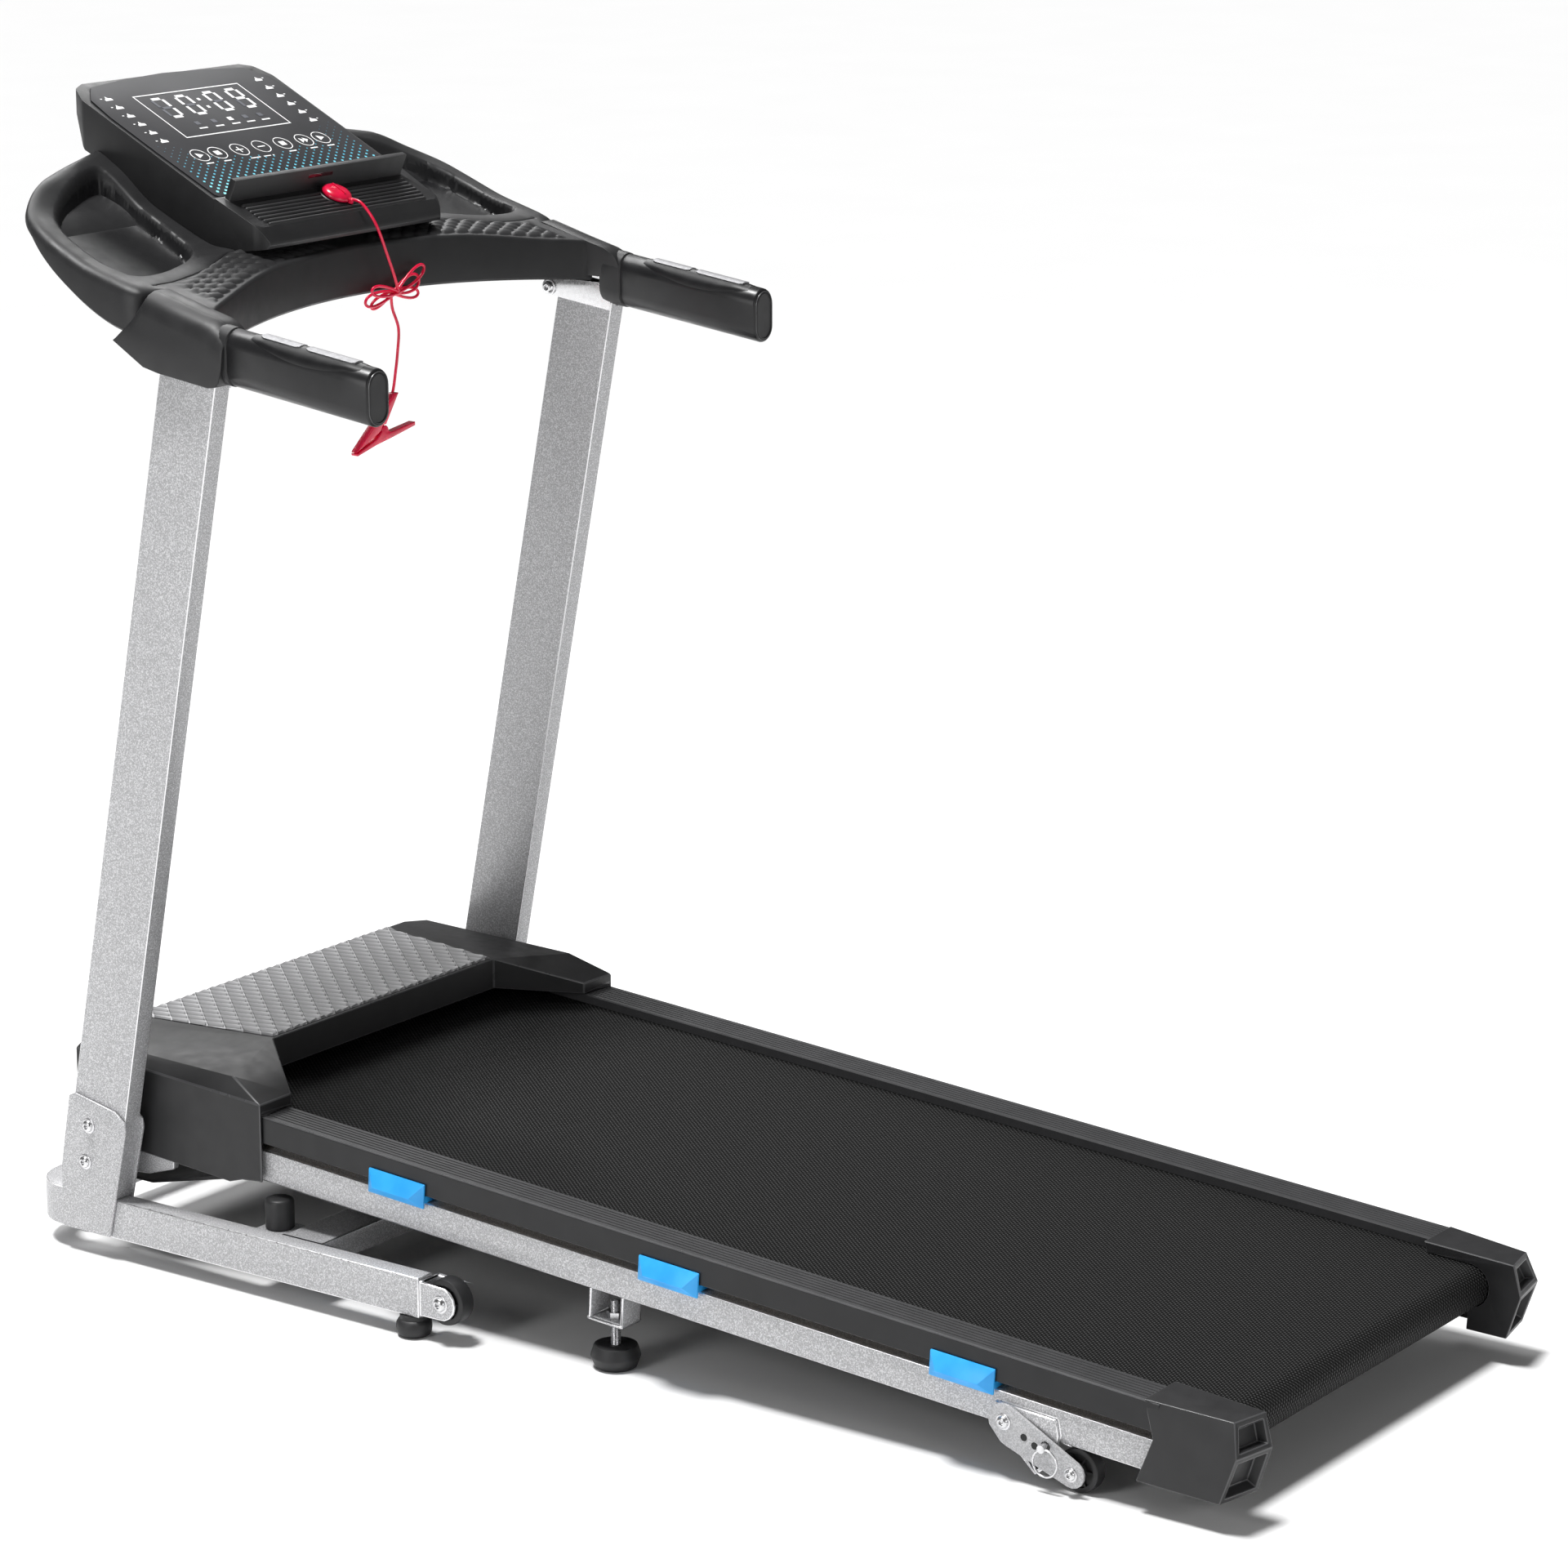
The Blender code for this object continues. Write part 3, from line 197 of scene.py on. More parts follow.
def silver_look(name="silver powder coat", low=0.38, high=0.72):
    look = Look(name, (0.48, 0.48, 0.50), 0.38, metallic=0.25)
    grain = look.noise(850, 2.0, 0.6)
    look.link(look.ramp(grain, [(0.38, (low, low, low * 1.015)), (0.50, (0.46, 0.46, 0.475)),
                                (0.62, (high, high, high * 1.015))]), "Base Color")
    look.mottle("Roughness", 900, 2.0, 0.30, 0.48, (0.35, 0.65))
    look.bump(grain, 0.00012, 0.5)
    return look.material


def plastic_look(name, colour, roughness=0.42, grain=0.00006, vary=0.25, specular=0.5):
    look = Look(name, colour, roughness, specular=specular)
    look.mottle("Base Color", 35, 3.0, tuple(c * (1 - vary) for c in colour),
                tuple(c * (1 + vary) for c in colour))
    look.mottle("Roughness", 60, 4.0, roughness - 0.05, roughness + 0.06)
    look.bump(look.noise(1500, 2.0), grain, 0.6)
    return look.material


def steel_look(name="bright zinc", colour=(0.72, 0.72, 0.73), roughness=0.24):
    look = Look(name, colour, roughness, metallic=1.0)
    look.mottle("Roughness", 250, 4.0, roughness - 0.06, roughness + 0.12)
    look.bump(look.noise(900, 2.0), 0.00003, 0.4)
    return look.material


def rubber_look():
    look = Look("black rubber", (0.016, 0.016, 0.017), 0.50)
    look.mottle("Roughness", 90, 4.0, 0.42, 0.58)
    look.bump(look.noise(1300, 3.0), 0.00008, 0.5)
    return look.material


def belt_look():
    """Black woven belt: staggered grains 4.4 mm apart across and 5.8 mm along, with painted shade
    in the valleys and painted highlights on the grain tops.
    """
    look = Look("woven belt", (0.02, 0.02, 0.02), 0.42, specular=0.16)
    across, along = 0.0044, 0.0058
    u, v, _ = look.split(look.place(uv=True))
    a = look.math("MULTIPLY", u, math.pi / across)
    b = look.math("MULTIPLY", v, math.pi / along)
    ridge = look.math("ABSOLUTE", look.math("SINE", look.math("ADD", a, b)))
    other = look.math("ABSOLUTE", look.math("SINE", look.math("SUBTRACT", a, b)))
    grain = look.math("MULTIPLY", ridge, other)
    # Painted light: valleys painted near black as shade, grain tops painted lighter as
    # highlights.
    look.link(look.ramp(grain, [(0.15, (0.0010,) * 3), (0.50, (0.0035,) * 3),
                                (1.0, (0.052,) * 3)]), "Base Color")
    look.link(look.ramp(grain, [(0.1, (0.62,) * 3), (0.9, (0.36,) * 3)]), "Roughness")
    look.bump(grain, 0.0011, 1.0)
    return look.material


def cushion_look():
    look = Look("sky blue elastomer", (0.03, 0.40, 0.90), 0.36, specular=0.5)
    look.mottle("Base Color", 45, 2.0, (0.022, 0.36, 0.86), (0.040, 0.44, 0.95))
    look.set("Subsurface Weight", 0.15)
    look.set("Subsurface Scale", 0.004)
    look.bump(look.noise(1200, 2.0), 0.00005, 0.5)
    return look.material


def wood_look():
    look = Look("fibreboard", (0.20, 0.15, 0.10), 0.6)
    look.mottle("Base Color", 400, 4.0, (0.13, 0.09, 0.06), (0.26, 0.20, 0.14))
    return look.material


def overlay_look():
    look = Look("display film", (0.034, 0.034, 0.037), 0.55, specular=0.22)
    look.mottle("Base Color", 14, 2.0, (0.031, 0.031, 0.034), (0.037, 0.037, 0.041))
    look.bump(look.noise(2200, 2.0), 0.00003, 0.5)
    return look.material


def print_look(name, low, high, glow=0.0):
    look = Look(name, high, 0.5)
    colour = look.ramp(look.noise(80, 2.0), [(0.35, low), (0.65, high)])
    look.link(colour, "Base Color")
    look.link(colour, "Emission Color")
    # The emission is a painted glow on the print.
    look.set("Emission Strength", glow)
    return look.material


def dots_look():
    """Cyan dots that fade to slate blue with their height on the film."""
    look = Look("cyan dots", (0.05, 0.4, 0.5), 0.5)
    _, y, _ = look.split(look.place())
    height = look.math("MULTIPLY", look.math("SUBTRACT", y, 0.5260), 12.5, clamp=True)
    colour = look.ramp(height, [(0.0, (0.32, 0.90, 0.95)), (0.40, (0.06, 0.42, 0.58)),
                                (1.0, (0.035, 0.07, 0.10))])
    look.link(colour, "Base Color")
    look.link(colour, "Emission Color")
    # A painted glow on the printed dots.
    look.set("Emission Strength", 0.25)
    return look.material


def screen_look():
    look = Look("tinted window", (0.010, 0.010, 0.012), 0.10, coat=0.6, coat_roughness=0.05)
    # A painted dim red glow in the dark window.
    look.set("Emission Color", (0.30, 0.0, 0.01, 1))
    look.set("Emission Strength", 0.05)
    look.mottle("Roughness", 30, 2.0, 0.06, 0.14)
    return look.material


def red_look():
    look = Look("crimson plastic", (0.80, 0.006, 0.060), 0.26, coat=0.3)
    look.mottle("Base Color", 70, 2.0, (0.70, 0.004, 0.045), (0.90, 0.010, 0.075))
    look.set("Subsurface Weight", 0.2)
    look.set("Subsurface Scale", 0.003)
    look.bump(look.noise(900, 2.0), 0.00005, 0.4)
    return look.material


# The hood panel's pattern: ribs RIB_PITCH apart in X that run RIB_RUN in X for each unit of Y,
# and slats SLAT_PITCH apart in X that lean by SLAT_LEAN of Y.
RIB_PITCH, RIB_RUN = 0.0216, 1 / 1.13
SLAT_PITCH, SLAT_LEAN = 0.0125, 0.25


def panel_look():
    """Satin grey moulding with painted light: slats painted lighter along their upper edge and
    darker below as shade, and steep ribs painted pale as highlights.
    """
    look = Look("grey moulding with painted shade and highlights", (0.30, 0.30, 0.31), 0.40, metallic=0.2)
    x, y, _ = look.split(look.place())
    slat = look.math("FRACT", look.math("ADD", look.math("DIVIDE", x, SLAT_PITCH),
                                        look.math("DIVIDE", y, SLAT_PITCH / SLAT_LEAN)))
    across = look.math("FRACT", look.math("SUBTRACT", look.math("DIVIDE", x, RIB_PITCH),
                                          look.math("DIVIDE", y, RIB_PITCH / RIB_RUN)))
    off = look.math("ABSOLUTE", look.math("SUBTRACT", across, 0.5))
    rib = look.math("MULTIPLY", look.math("SUBTRACT", off, 0.43), 14.0, clamp=True)
    # Painted shade: each slat darkens away from its upper edge; the ribs are painted pale as
    # highlights.
    shade = look.math("MULTIPLY", look.math("ADD", 0.35, look.math("MULTIPLY", across, 0.45)),
                      look.math("ADD", 0.10, slat))
    painted_slat_tone = look.math("MAXIMUM", shade, look.math("MULTIPLY", rib, 0.95))
    look.link(look.ramp(painted_slat_tone, [(0.0, (0.035, 0.035, 0.037)), (0.40, (0.21, 0.21, 0.215)),
                               (1.0, (0.70, 0.70, 0.71))]), "Base Color")
    look.bump(look.noise(1300, 2.0), 0.00004, 0.5)
    return look.material


add_camera()
add_light()
SILVER = silver_look()
# A painted highlight: the bevelled edges of the silver parts take this bright metal as a glint.
SILVER_EDGE_GLINT = steel_look("painted edge glint", (0.86, 0.86, 0.87), 0.30)
PLATE = silver_look("zinc-grey plate", 0.38, 0.60)
BLACK = plastic_look("black plastic", (0.021, 0.021, 0.022), 0.44, vary=0.10, specular=0.4)
# The own deep black of skirts, pan, bezel, seats and cylinder; also painted shade inside the
# console trays and in the leg holes.
DEEP_BLACK_AND_SHADE = plastic_look("deep black plastic and painted shade", (0.009, 0.009, 0.010), 0.38, vary=0.15,
                    specular=0.4)
# A painted highlight: lighter plastic on the bevels of caps, hood and head, on the rail bead and
# on the grip line.
PLASTIC_EDGE_HIGHLIGHT = plastic_look("painted highlight plastic edge", (0.075, 0.075, 0.078), 0.30, vary=0.1)
GREY = plastic_look("dark grey plastic", (0.042, 0.042, 0.044), 0.48, vary=0.10, specular=0.4)
GRIP = plastic_look("grip sleeve", (0.012, 0.012, 0.013), 0.34, 0.00003, vary=0.15,
                    specular=0.45)
RUBBER = rubber_look()
STEEL = steel_look()
DARK_STEEL = steel_look("drawn steel", (0.45, 0.45, 0.46), 0.34)
PULSE = steel_look("satin sensor plate", (0.34, 0.34, 0.35), 0.55)
BELT = belt_look()
BLUE = cushion_look()
WOOD = wood_look()
FILM = overlay_look()
WHITE = print_look("white print", (0.70,) * 3, (0.85,) * 3, 0.35)
FAINT = print_look("unlit print", (0.055, 0.060, 0.075), (0.075, 0.080, 0.10), 0.1)
CYAN = dots_look()
SCREEN = screen_look()
RED = red_look()
PANEL = panel_look()
GREEN = plastic_look("circuit board", (0.02, 0.16, 0.07), 0.4)


# ------------------------------------------------------------------ mesh tools
def finish_mesh(name, bm, looks, body, smooth, bevel, replaced, slot, place, angle=30,
                segments=2, edge_look=None, clamp=True, weld=1e-6):
    """Turn a bmesh into a shaded object with rounded edges and give it its body; the slot
    argument is not used.
    """
    bmesh.ops.remove_doubles(bm, verts=bm.verts, dist=weld)
    bmesh.ops.recalc_face_normals(bm, faces=bm.faces)
    mesh = bpy.data.meshes.new(name)
    bm.to_mesh(mesh)
    bm.free()
    if place is not None:
        mesh.transform(place)
    obj = bpy.data.objects.new(name, mesh)
    bpy.context.scene.collection.objects.link(obj)
    for look in looks:
        mesh.materials.append(look)
    if edge_look is not None:
        mesh.materials.append(edge_look)
    if bevel:
        edge = obj.modifiers.new("edges", "BEVEL")
        edge.width, edge.segments = bevel, segments
        edge.limit_method, edge.angle_limit = "ANGLE", math.radians(angle)
        edge.use_clamp_overlap = clamp
        edge.miter_outer = "MITER_ARC"
        # The bevel's faces take the edge look: a painted highlight along the rounded edges.
        if edge_look is not None:
            edge.material = len(looks)
        dg = bpy.context.evaluated_depsgraph_get()
        done = bpy.data.meshes.new_from_object(obj.evaluated_get(dg))
        obj.modifiers.clear()
        obj.data = done
        mesh = done
        mesh.name = name
    if smooth:
        mesh.shade_smooth()
        mesh.set_sharp_from_angle(angle=math.radians(smooth))
    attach(obj, body)
    if replaced:
        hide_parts(*replaced)
    return obj


def piece(name, shells, look, body, smooth=32, bevel=0.0, replaced=(), slot=None, place=None,
          **more):
    """One object from (points, faces) shells."""
    bm = bmesh.new()
    for points, faces in shells:
        verts = [bm.verts.new(p) for p in points]
        for face in faces:
            if len(set(face)) > 2:
                bm.faces.new([verts[i] for i in face])
    return finish_mesh(name, bm, [look], body, smooth, bevel, replaced, slot, place, **more)


def refined(node, look, body, bevel=0.0010, slot=None, name=None, smooth=32, carve=None,
            **more):
    """The CAD solid again with its flat faces whole, its edges rounded and a better finish."""
    bm = bmesh.new()
    bm.from_mesh(NODES[node].data)
    bmesh.ops.remove_doubles(bm, verts=bm.verts, dist=2e-5)
    bmesh.ops.dissolve_limit(bm, angle_limit=math.radians(0.6), verts=bm.verts,
                             edges=bm.edges, use_dissolve_boundaries=False)
    for face in bm.faces:
        face.material_index = 0
    if carve is not None:
        bm.normal_update()
        carve(bm)
    return finish_mesh(name or "fine_" + node, bm, [look], body, smooth, bevel, (node,), slot,
                       None, **more)


def arc(cx, cy, radius, start, end, steps):
    """Points of an arc, angles in degrees."""
    return [(cx + radius * math.cos(math.radians(start + (end - start) * i / steps)),
             cy + radius * math.sin(math.radians(start + (end - start) * i / steps)))
            for i in range(steps + 1)]


def lift(axis, p, along):
    """A plane point (the two other coordinates) placed along an axis."""
    if axis == "X":
        return (along, p[0], p[1])
    if axis == "Y":
        return (p[0], along, p[1])
    return (p[0], p[1], along)


def prism(outline, axis, low, high):
    """A closed outline drawn out along an axis."""
    n = len(outline)
    points = [lift(axis, p, low) for p in outline] + [lift(axis, p, high) for p in outline]
    faces = [tuple(range(n)), tuple(range(2 * n - 1, n - 1, -1))]
    faces += [(i, (i + 1) % n, n + (i + 1) % n, n + i) for i in range(n)]
    return points, faces


def box(x, y, z):
    return prism([(x[0], y[0]), (x[1], y[0]), (x[1], y[1]), (x[0], y[1])], "Z", *z)


def lathe(profile, axis, centre, steps=48):
    """A turned solid from (radius, along) pairs; centre gives the two other coordinates."""
    points, faces = [], []
    for radius, along in profile:
        circle = arc(*centre, max(radius, 1e-6), 0, 360, steps)[:-1]
        points += [lift(axis, p, along) for p in circle]
    for k in range(len(profile) - 1):
        for i in range(steps):
            j = (i + 1) % steps
            faces.append((k * steps + i, k * steps + j, (k + 1) * steps + j,
                          (k + 1) * steps + i))
    if profile[0][0] > 1e-5:
        faces.append(tuple(range(steps)))
    if profile[-1][0] > 1e-5:
        faces.append(tuple(range(len(points) - steps, len(points))))
    return points, faces


def ring(profile, axis, centre, steps=48):
    """A turned solid whose (radius, along) profile is closed and off the axis."""
    points, faces = [], []
    for radius, along in profile:
        points += [lift(axis, p, along) for p in arc(*centre, radius, 0, 360, steps)[:-1]]
    n = len(profile)
    for k in range(n):
        for i in range(steps):
            j, m = (i + 1) % steps, (k + 1) % n
            faces.append((k * steps + i, k * steps + j, m * steps + j, m * steps + i))
    return points, faces


def loft(sections):
    """A closed skin through sections with equally many points."""
    points, faces, n = [], [], len(sections[0])
    for section in sections:
        points += section
    for k in range(len(sections) - 1):
        for i in range(n):
            j = (i + 1) % n
            faces.append((k * n + i, k * n + j, (k + 1) * n + j, (k + 1) * n + i))
    faces += [tuple(range(n)), tuple(range(len(points) - n, len(points)))]
    return points, faces


def place_shell(shell, matrix):
    return [tuple(matrix @ Vector(p)) for p in shell[0]], shell[1]


def aim(at, direction):
    """A matrix that carries +Z to a direction."""
    return Matrix.Translation(at) @ Vector(direction).to_track_quat("Z", "Y").to_matrix().to_4x4()


def screw(at, direction, radius=0.0062):
    """A domed socket-head screw with its washer, standing along a direction."""
    r = radius
    dome = [(r * 1.28, 0.0), (r * 1.28, 0.0010), (r * 1.20, 0.0013), (r, 0.0013), (r, 0.0018)]
    dome += [(r * math.cos(math.radians(a)), 0.0018 + 0.62 * r * math.sin(math.radians(a)))
             for a in (15, 30, 45, 60)]
    dome += [(r * 0.46, 0.0018 + 0.62 * r * 0.86), (r * 0.40, 0.0018 + 0.62 * r * 0.80)]
    head = lathe(dome + [(r * 0.40, 0.0018 + 0.10 * r), (0.0, 0.0018 + 0.02 * r)], "Z", (0, 0),
                 24)
    return place_shell(head, aim(at, direction))


# ------------------------------------------------------------------ base and uprights
def make_base():
    """Base frame and uprights with screws, feet, bumpers, brackets and wheels."""
    silver = "silver_paint"
    refined("base_frame", SILVER, "base", 0.0012, silver, clamp=False, segments=2,
            edge_look=SILVER_EDGE_GLINT)
    for side, s in SIDES:
        refined("upright_" + side, SILVER, "base", 0.0014, silver, segments=3, edge_look=SILVER_EDGE_GLINT)
        refined("upright_socket_" + side, SILVER, "base", 0.0011, silver, clamp=False)
        screws = [screw((s * x, y, z), (s * way, 0, 0), radius) for x, y, z, way, radius in
                  ((0.3132, 0.5663, 0.1335, 1, 0.0060), (0.3132, 0.5723, 0.0955, 1, 0.0060),
                   (0.2859, 0.5663, 0.1400, -1, 0.0060), (0.3079, 0.1273, 0.0400, 1, 0.0068),
                   (0.2801, 0.1273, 0.0400, -1, 0.0060))]
        piece("frame_screws_" + side, screws, STEEL, "base", 40, slot="steel")
        foot = [(0.0, 0.0), (0.0130, 0.0), (0.0150, 0.0010), (0.0166, 0.0040),
                (0.0172, 0.0085), (0.0168, 0.0130), (0.0152, 0.0158), (0.0138, 0.0166),
                (0.0136, 0.0209), (0.0, 0.0209)]
        for end, x, y in (("rear", 0.300, 0.1663), ("front", 0.250, 0.6233)):
            piece("foot_pad_%s_%s" % (end, side), [lathe(foot, "Z", (s * x, y))], RUBBER, "base",
                  40, replaced=("base_foot_%s_%s" % (end, side),), slot="rubber")
        post = [(0.0, 0.0588), (0.0130, 0.0588), (0.0142, 0.0600), (0.0142, 0.0858),
                (0.0130, 0.0880), (0.0108, 0.0890), (0.0, 0.0892)]
        piece("bumper_" + side, [lathe(post, "Z", (s * 0.270, 0.3583))], RUBBER, "base", 40,
              slot="rubber")
        bracket = [(0.3760, 0.8800), (0.4520, 0.8895), (0.4600, 0.8905), (0.4640, 0.8965),
                   (0.4600, 0.9045), (0.4480, 0.9080), (0.3760, 0.9080)]
        piece("head_bracket_" + side, [prism(bracket, "X", *sorted((s * 0.2872, s * 0.2888)))],
              STEEL, "base", 30, bevel=0.0004, slot="steel")
        piece("bracket_screw_" + side, [screw((s * 0.2872, 0.4545, 0.8975), (-s, 0, 0), 0.0066)],
              STEEL, "base", 40, slot="steel")
        wheel("transport_wheel_" + side, "transport_wheel_" + side, s, 0.2852, 0.3028,
              (0.1273, 0.040), 0.0225)


def wheel(node, body, s, low, high, centre, radius):
    """A narrow rubber wheel with a recessed web, a hub and six spokes each side."""
    mid = (low + high) / 2
    half = (high - low) / 2
    r = radius
    tread = [(r - 0.0016, -half), (r - 0.0004, -half + 0.0008), (r, -half + 0.0022),
             (r, half - 0.0022), (r - 0.0004, half - 0.0008), (r - 0.0016, half),
             (r * 0.76, half), (r * 0.74, half - 0.0030), (r * 0.40, half - 0.0030),
             (r * 0.38, half), (0.0050, half), (0.0050, -half), (r * 0.38, -half),
             (r * 0.40, -half + 0.0030), (r * 0.74, -half + 0.0030), (r * 0.76, -half)]
    shells = [ring([(a, s * (mid + b)) for a, b in tread], "X", centre)]
    for k in range(6):
        turn = Matrix.Translation((0, *centre)) @ Matrix.Rotation(math.radians(60 * k), 4, "X")
        spoke = box(sorted((s * (mid - half + 0.0006), s * (mid + half - 0.0006))),
                    (r * 0.34, r * 0.78), (-0.0007, 0.0007))
        shells.append(place_shell(spoke, turn))
    piece("tyre_" + node, shells, RUBBER, body, 35, replaced=(node,), slot="rubber")


# ------------------------------------------------------------------ deck
def band_loop(radius, steps):
    """Outline of a band round both rollers, starting under the rear one."""
    rear, front, z = -0.6745, 0.470, -0.0306
    points = arc(rear, z, radius, 270, 90, steps)
    count = 30
    points += [(rear + (front - rear) * i / count, z + radius) for i in range(1, count)]
    points += arc(front, z, radius, 90, -90, steps)
    points += [(front + (rear - front) * i / count, z - radius) for i in range(1, count)]
    return points


def make_belt():
    """The walking belt, with UV in metres across and along it."""
    bm = bmesh.new()
    uv = bm.loops.layers.uv.new("UVMap")
    half = 0.238
    columns = [-half, -0.2370, -0.12, 0.0, 0.12, 0.2370, half]
    radius = 0.0181 + 0.0006
    outer, inner = band_loop(radius + 0.0020, 20), band_loop(radius, 20)
    length = [0.0]
    for a, b in zip(outer, outer[1:] + outer[:1]):
        length.append(length[-1] + math.dist(a, b))
    n = len(outer)
    rows = []
    for x in columns:
        inset = 0.0004 if abs(x) == half else 0.0
        rows.append([bm.verts.new((x, y, z)) for y, z in
                     (band_loop(radius + 0.0020 - inset, 20) if inset else outer)])
    low = [[bm.verts.new((x, y, z)) for y, z in inner] for x in (-half, half)]

    def quad(a, b, c, d, us, vs):
        face = bm.faces.new((a, b, c, d))
        for loop, u, v in zip(face.loops, us, vs):
            loop[uv].uv = (u, v)

    for k in range(len(columns) - 1):
        for i in range(n):
            j = (i + 1) % n
            quad(rows[k][i], rows[k][j], rows[k + 1][j], rows[k + 1][i],
                 (columns[k], columns[k], columns[k + 1], columns[k + 1]),
                 (length[i], length[i + 1], length[i + 1], length[i]))
    for i in range(n):
        j = (i + 1) % n
        v = (length[i], length[i + 1], length[i + 1], length[i])
        quad(low[0][i], low[0][j], rows[0][j], rows[0][i], (0, 0, 0.002, 0.002), v)
        quad(rows[-1][i], rows[-1][j], low[1][j], low[1][i], (0, 0, 0.002, 0.002), v)
        quad(low[1][i], low[1][j], low[0][j], low[0][i], (-half, -half, half, half), v)
    finish_mesh("woven_belt", bm, [BELT], "deck", 30, 0, ("walking_belt",), "belt_fabric", DECK,
                weld=1e-7)


def make_rails():
    """Foot rails: a grey tread with fine grooves and a black skirt outside it."""
    for side, s in SIDES:
        top = [(0.2340, -0.0095), (0.2340, -0.0012), (0.2350, 0.0)]
        x = 0.2390
        while x < 0.2660:
            top += [(x, 0.0), (x + 0.0006, -0.0016), (x + 0.0014, -0.0016), (x + 0.0020, 0.0)]
            x += 0.0052
        top += [(0.2718, 0.0), (0.2724, -0.0004), (0.2724, -0.0122), (0.2395, -0.0122),
                (0.2395, -0.0095)]
        skirt = [(0.2722, -0.0006), (0.2732, -0.0008), (0.2740, -0.0016), (0.2740, -0.0262),
                 (0.2734, -0.0270), (0.2712, -0.0270), (0.2705, -0.0262), (0.2705, -0.0110),
                 (0.2722, -0.0110)]
        # The bead along the rail's outer top edge is a painted highlight line in the lighter edge
        # plastic.
        bead = [(0.2724, -0.0002), (0.2731, -0.0002), (0.2738, -0.0009), (0.2736, -0.0014),
                (0.2724, -0.0010)]
        for name, outline, look, slot, replaced in (
                ("rail_", top, GREY, "grey_plastic", ("foot_rail_" + side,)),
                ("rail_skirt_", skirt, DEEP_BLACK_AND_SHADE, "black_plastic", ()),
                ("rail_highlight_bead_", bead, PLASTIC_EDGE_HIGHLIGHT, "black_plastic", ())):
            bar = prism([(s * x, z) for x, z in outline], "Y", -0.6420, 0.4200)
            piece(name + side, [bar], look, "deck", 25, replaced=replaced, slot=slot,
                  place=DECK)


def make_cushions():
    """Blue deck cushions: a hook over the rail and a hipped, gem-like outer face."""
    for side, s in SIDES:
        for number, y in enumerate((0.201, -0.121, -0.443), 1):
            half = 0.034
            base = [(0.2744, -half, -0.0395), (0.2744, half, -0.0395), (0.2744, half, -0.0153),
                    (0.2744, -half, -0.0153)]
            mid = [(0.2765, p[1], p[2]) for p in base]
            ridge = [(0.2855, -half + 0.012, -0.0300), (0.2855, half - 0.012, -0.0300)]
            points = [(s * a, y + b, c) for a, b, c in base + mid + ridge]
            faces = [(0, 1, 2, 3), (0, 1, 5, 4), (1, 2, 6, 5), (2, 3, 7, 6), (3, 0, 4, 7),
                     (4, 5, 9, 8), (6, 7, 8, 9), (5, 6, 9), (7, 4, 8)]
            hook = box(sorted((s * 0.2500, s * 0.2750)), (y - half + 0.001, y + half - 0.001),
                       (-0.0350, -0.0279))
            piece("gem_cushion_%s_%d" % (side, number), [(points, faces), hook], BLUE, "deck",
                  20, bevel=0.0007, replaced=("cushion_%s_%d" % (side, number),),
                  slot="blue_cushion", place=DECK)


def pocket(bm):
    """Sink a pocket with sloping sides into each of the cap's two rear faces."""
    rear = (Matrix.Rotation(TILT, 3, "X") @ Vector((0, -1, 0))).normalized()
    edges = [e for e in bm.edges if len(e.link_faces) == 2 and e.calc_face_angle(1.0) < 0.16
             and all(f.normal.dot(rear) > 0.85 for f in e.link_faces)]
    bmesh.ops.dissolve_edges(bm, edges=edges, use_verts=False)
    bm.normal_update()
    faces = [f for f in bm.faces if f.normal.dot(rear) > 0.85 and f.calc_area() > 5e-4]
    for face in faces:
        bmesh.ops.inset_region(bm, faces=[face], thickness=0.0070, depth=0.0)
        bmesh.ops.inset_region(bm, faces=[face], thickness=0.0035, depth=-0.0095)


def make_caps():
    for side, _ in SIDES:
        refined("rear_cap_" + side, BLACK, "deck", 0.0009, "black_plastic", smooth=20,
                edge_look=PLASTIC_EDGE_HIGHLIGHT, clamp=False, carve=pocket)


def make_feet():
    """Levelling feet: a flanged rubber pad, a threaded stud, a nut and a washer."""
    for side, s in SIDES:
        pad = [(0.0, 0.0), (0.0188, 0.0), (0.0198, 0.0008), (0.0206, 0.0030), (0.0230, 0.0094),
               (0.0234, 0.0104), (0.0235, 0.0112), (0.0233, 0.0122), (0.0209, 0.0203),
               (0.0204, 0.0212), (0.0194, 0.0215), (0.0184, 0.0212), (0.0170, 0.0204),
               (0.0062, 0.0204), (0.0058, 0.0214), (0.0, 0.0214)]
        centre = (s * 0.255, -0.0387)
        piece("level_pad_" + side, [lathe(pad, "Z", centre, 56)], RUBBER,
              "levelling_foot_" + side, 40, replaced=("levelling_foot_" + side,), slot="rubber")
        thread = [(0.0, 0.0200)]
        z = 0.0205
        while z < 0.0640:
            thread += [(0.0040, z), (0.0048, z + 0.0008)]
            z += 0.0016
        thread += [(0.0040, 0.0650), (0.0, 0.0660)]
        nuts = [prism(arc(*centre, 0.0078, 0, 360, 6)[:-1], "Z", 0.0475, 0.0535)]
        nuts.append(lathe([(0.0, 0.0456), (0.0096, 0.0456), (0.0098, 0.0464), (0.0084, 0.0476),
                           (0.0, 0.0476)], "Z", centre, 32))
        piece("level_stud_" + side, [lathe(thread, "Z", centre, 24)] + nuts, STEEL,
              "levelling_foot_" + side, 25, slot="steel")


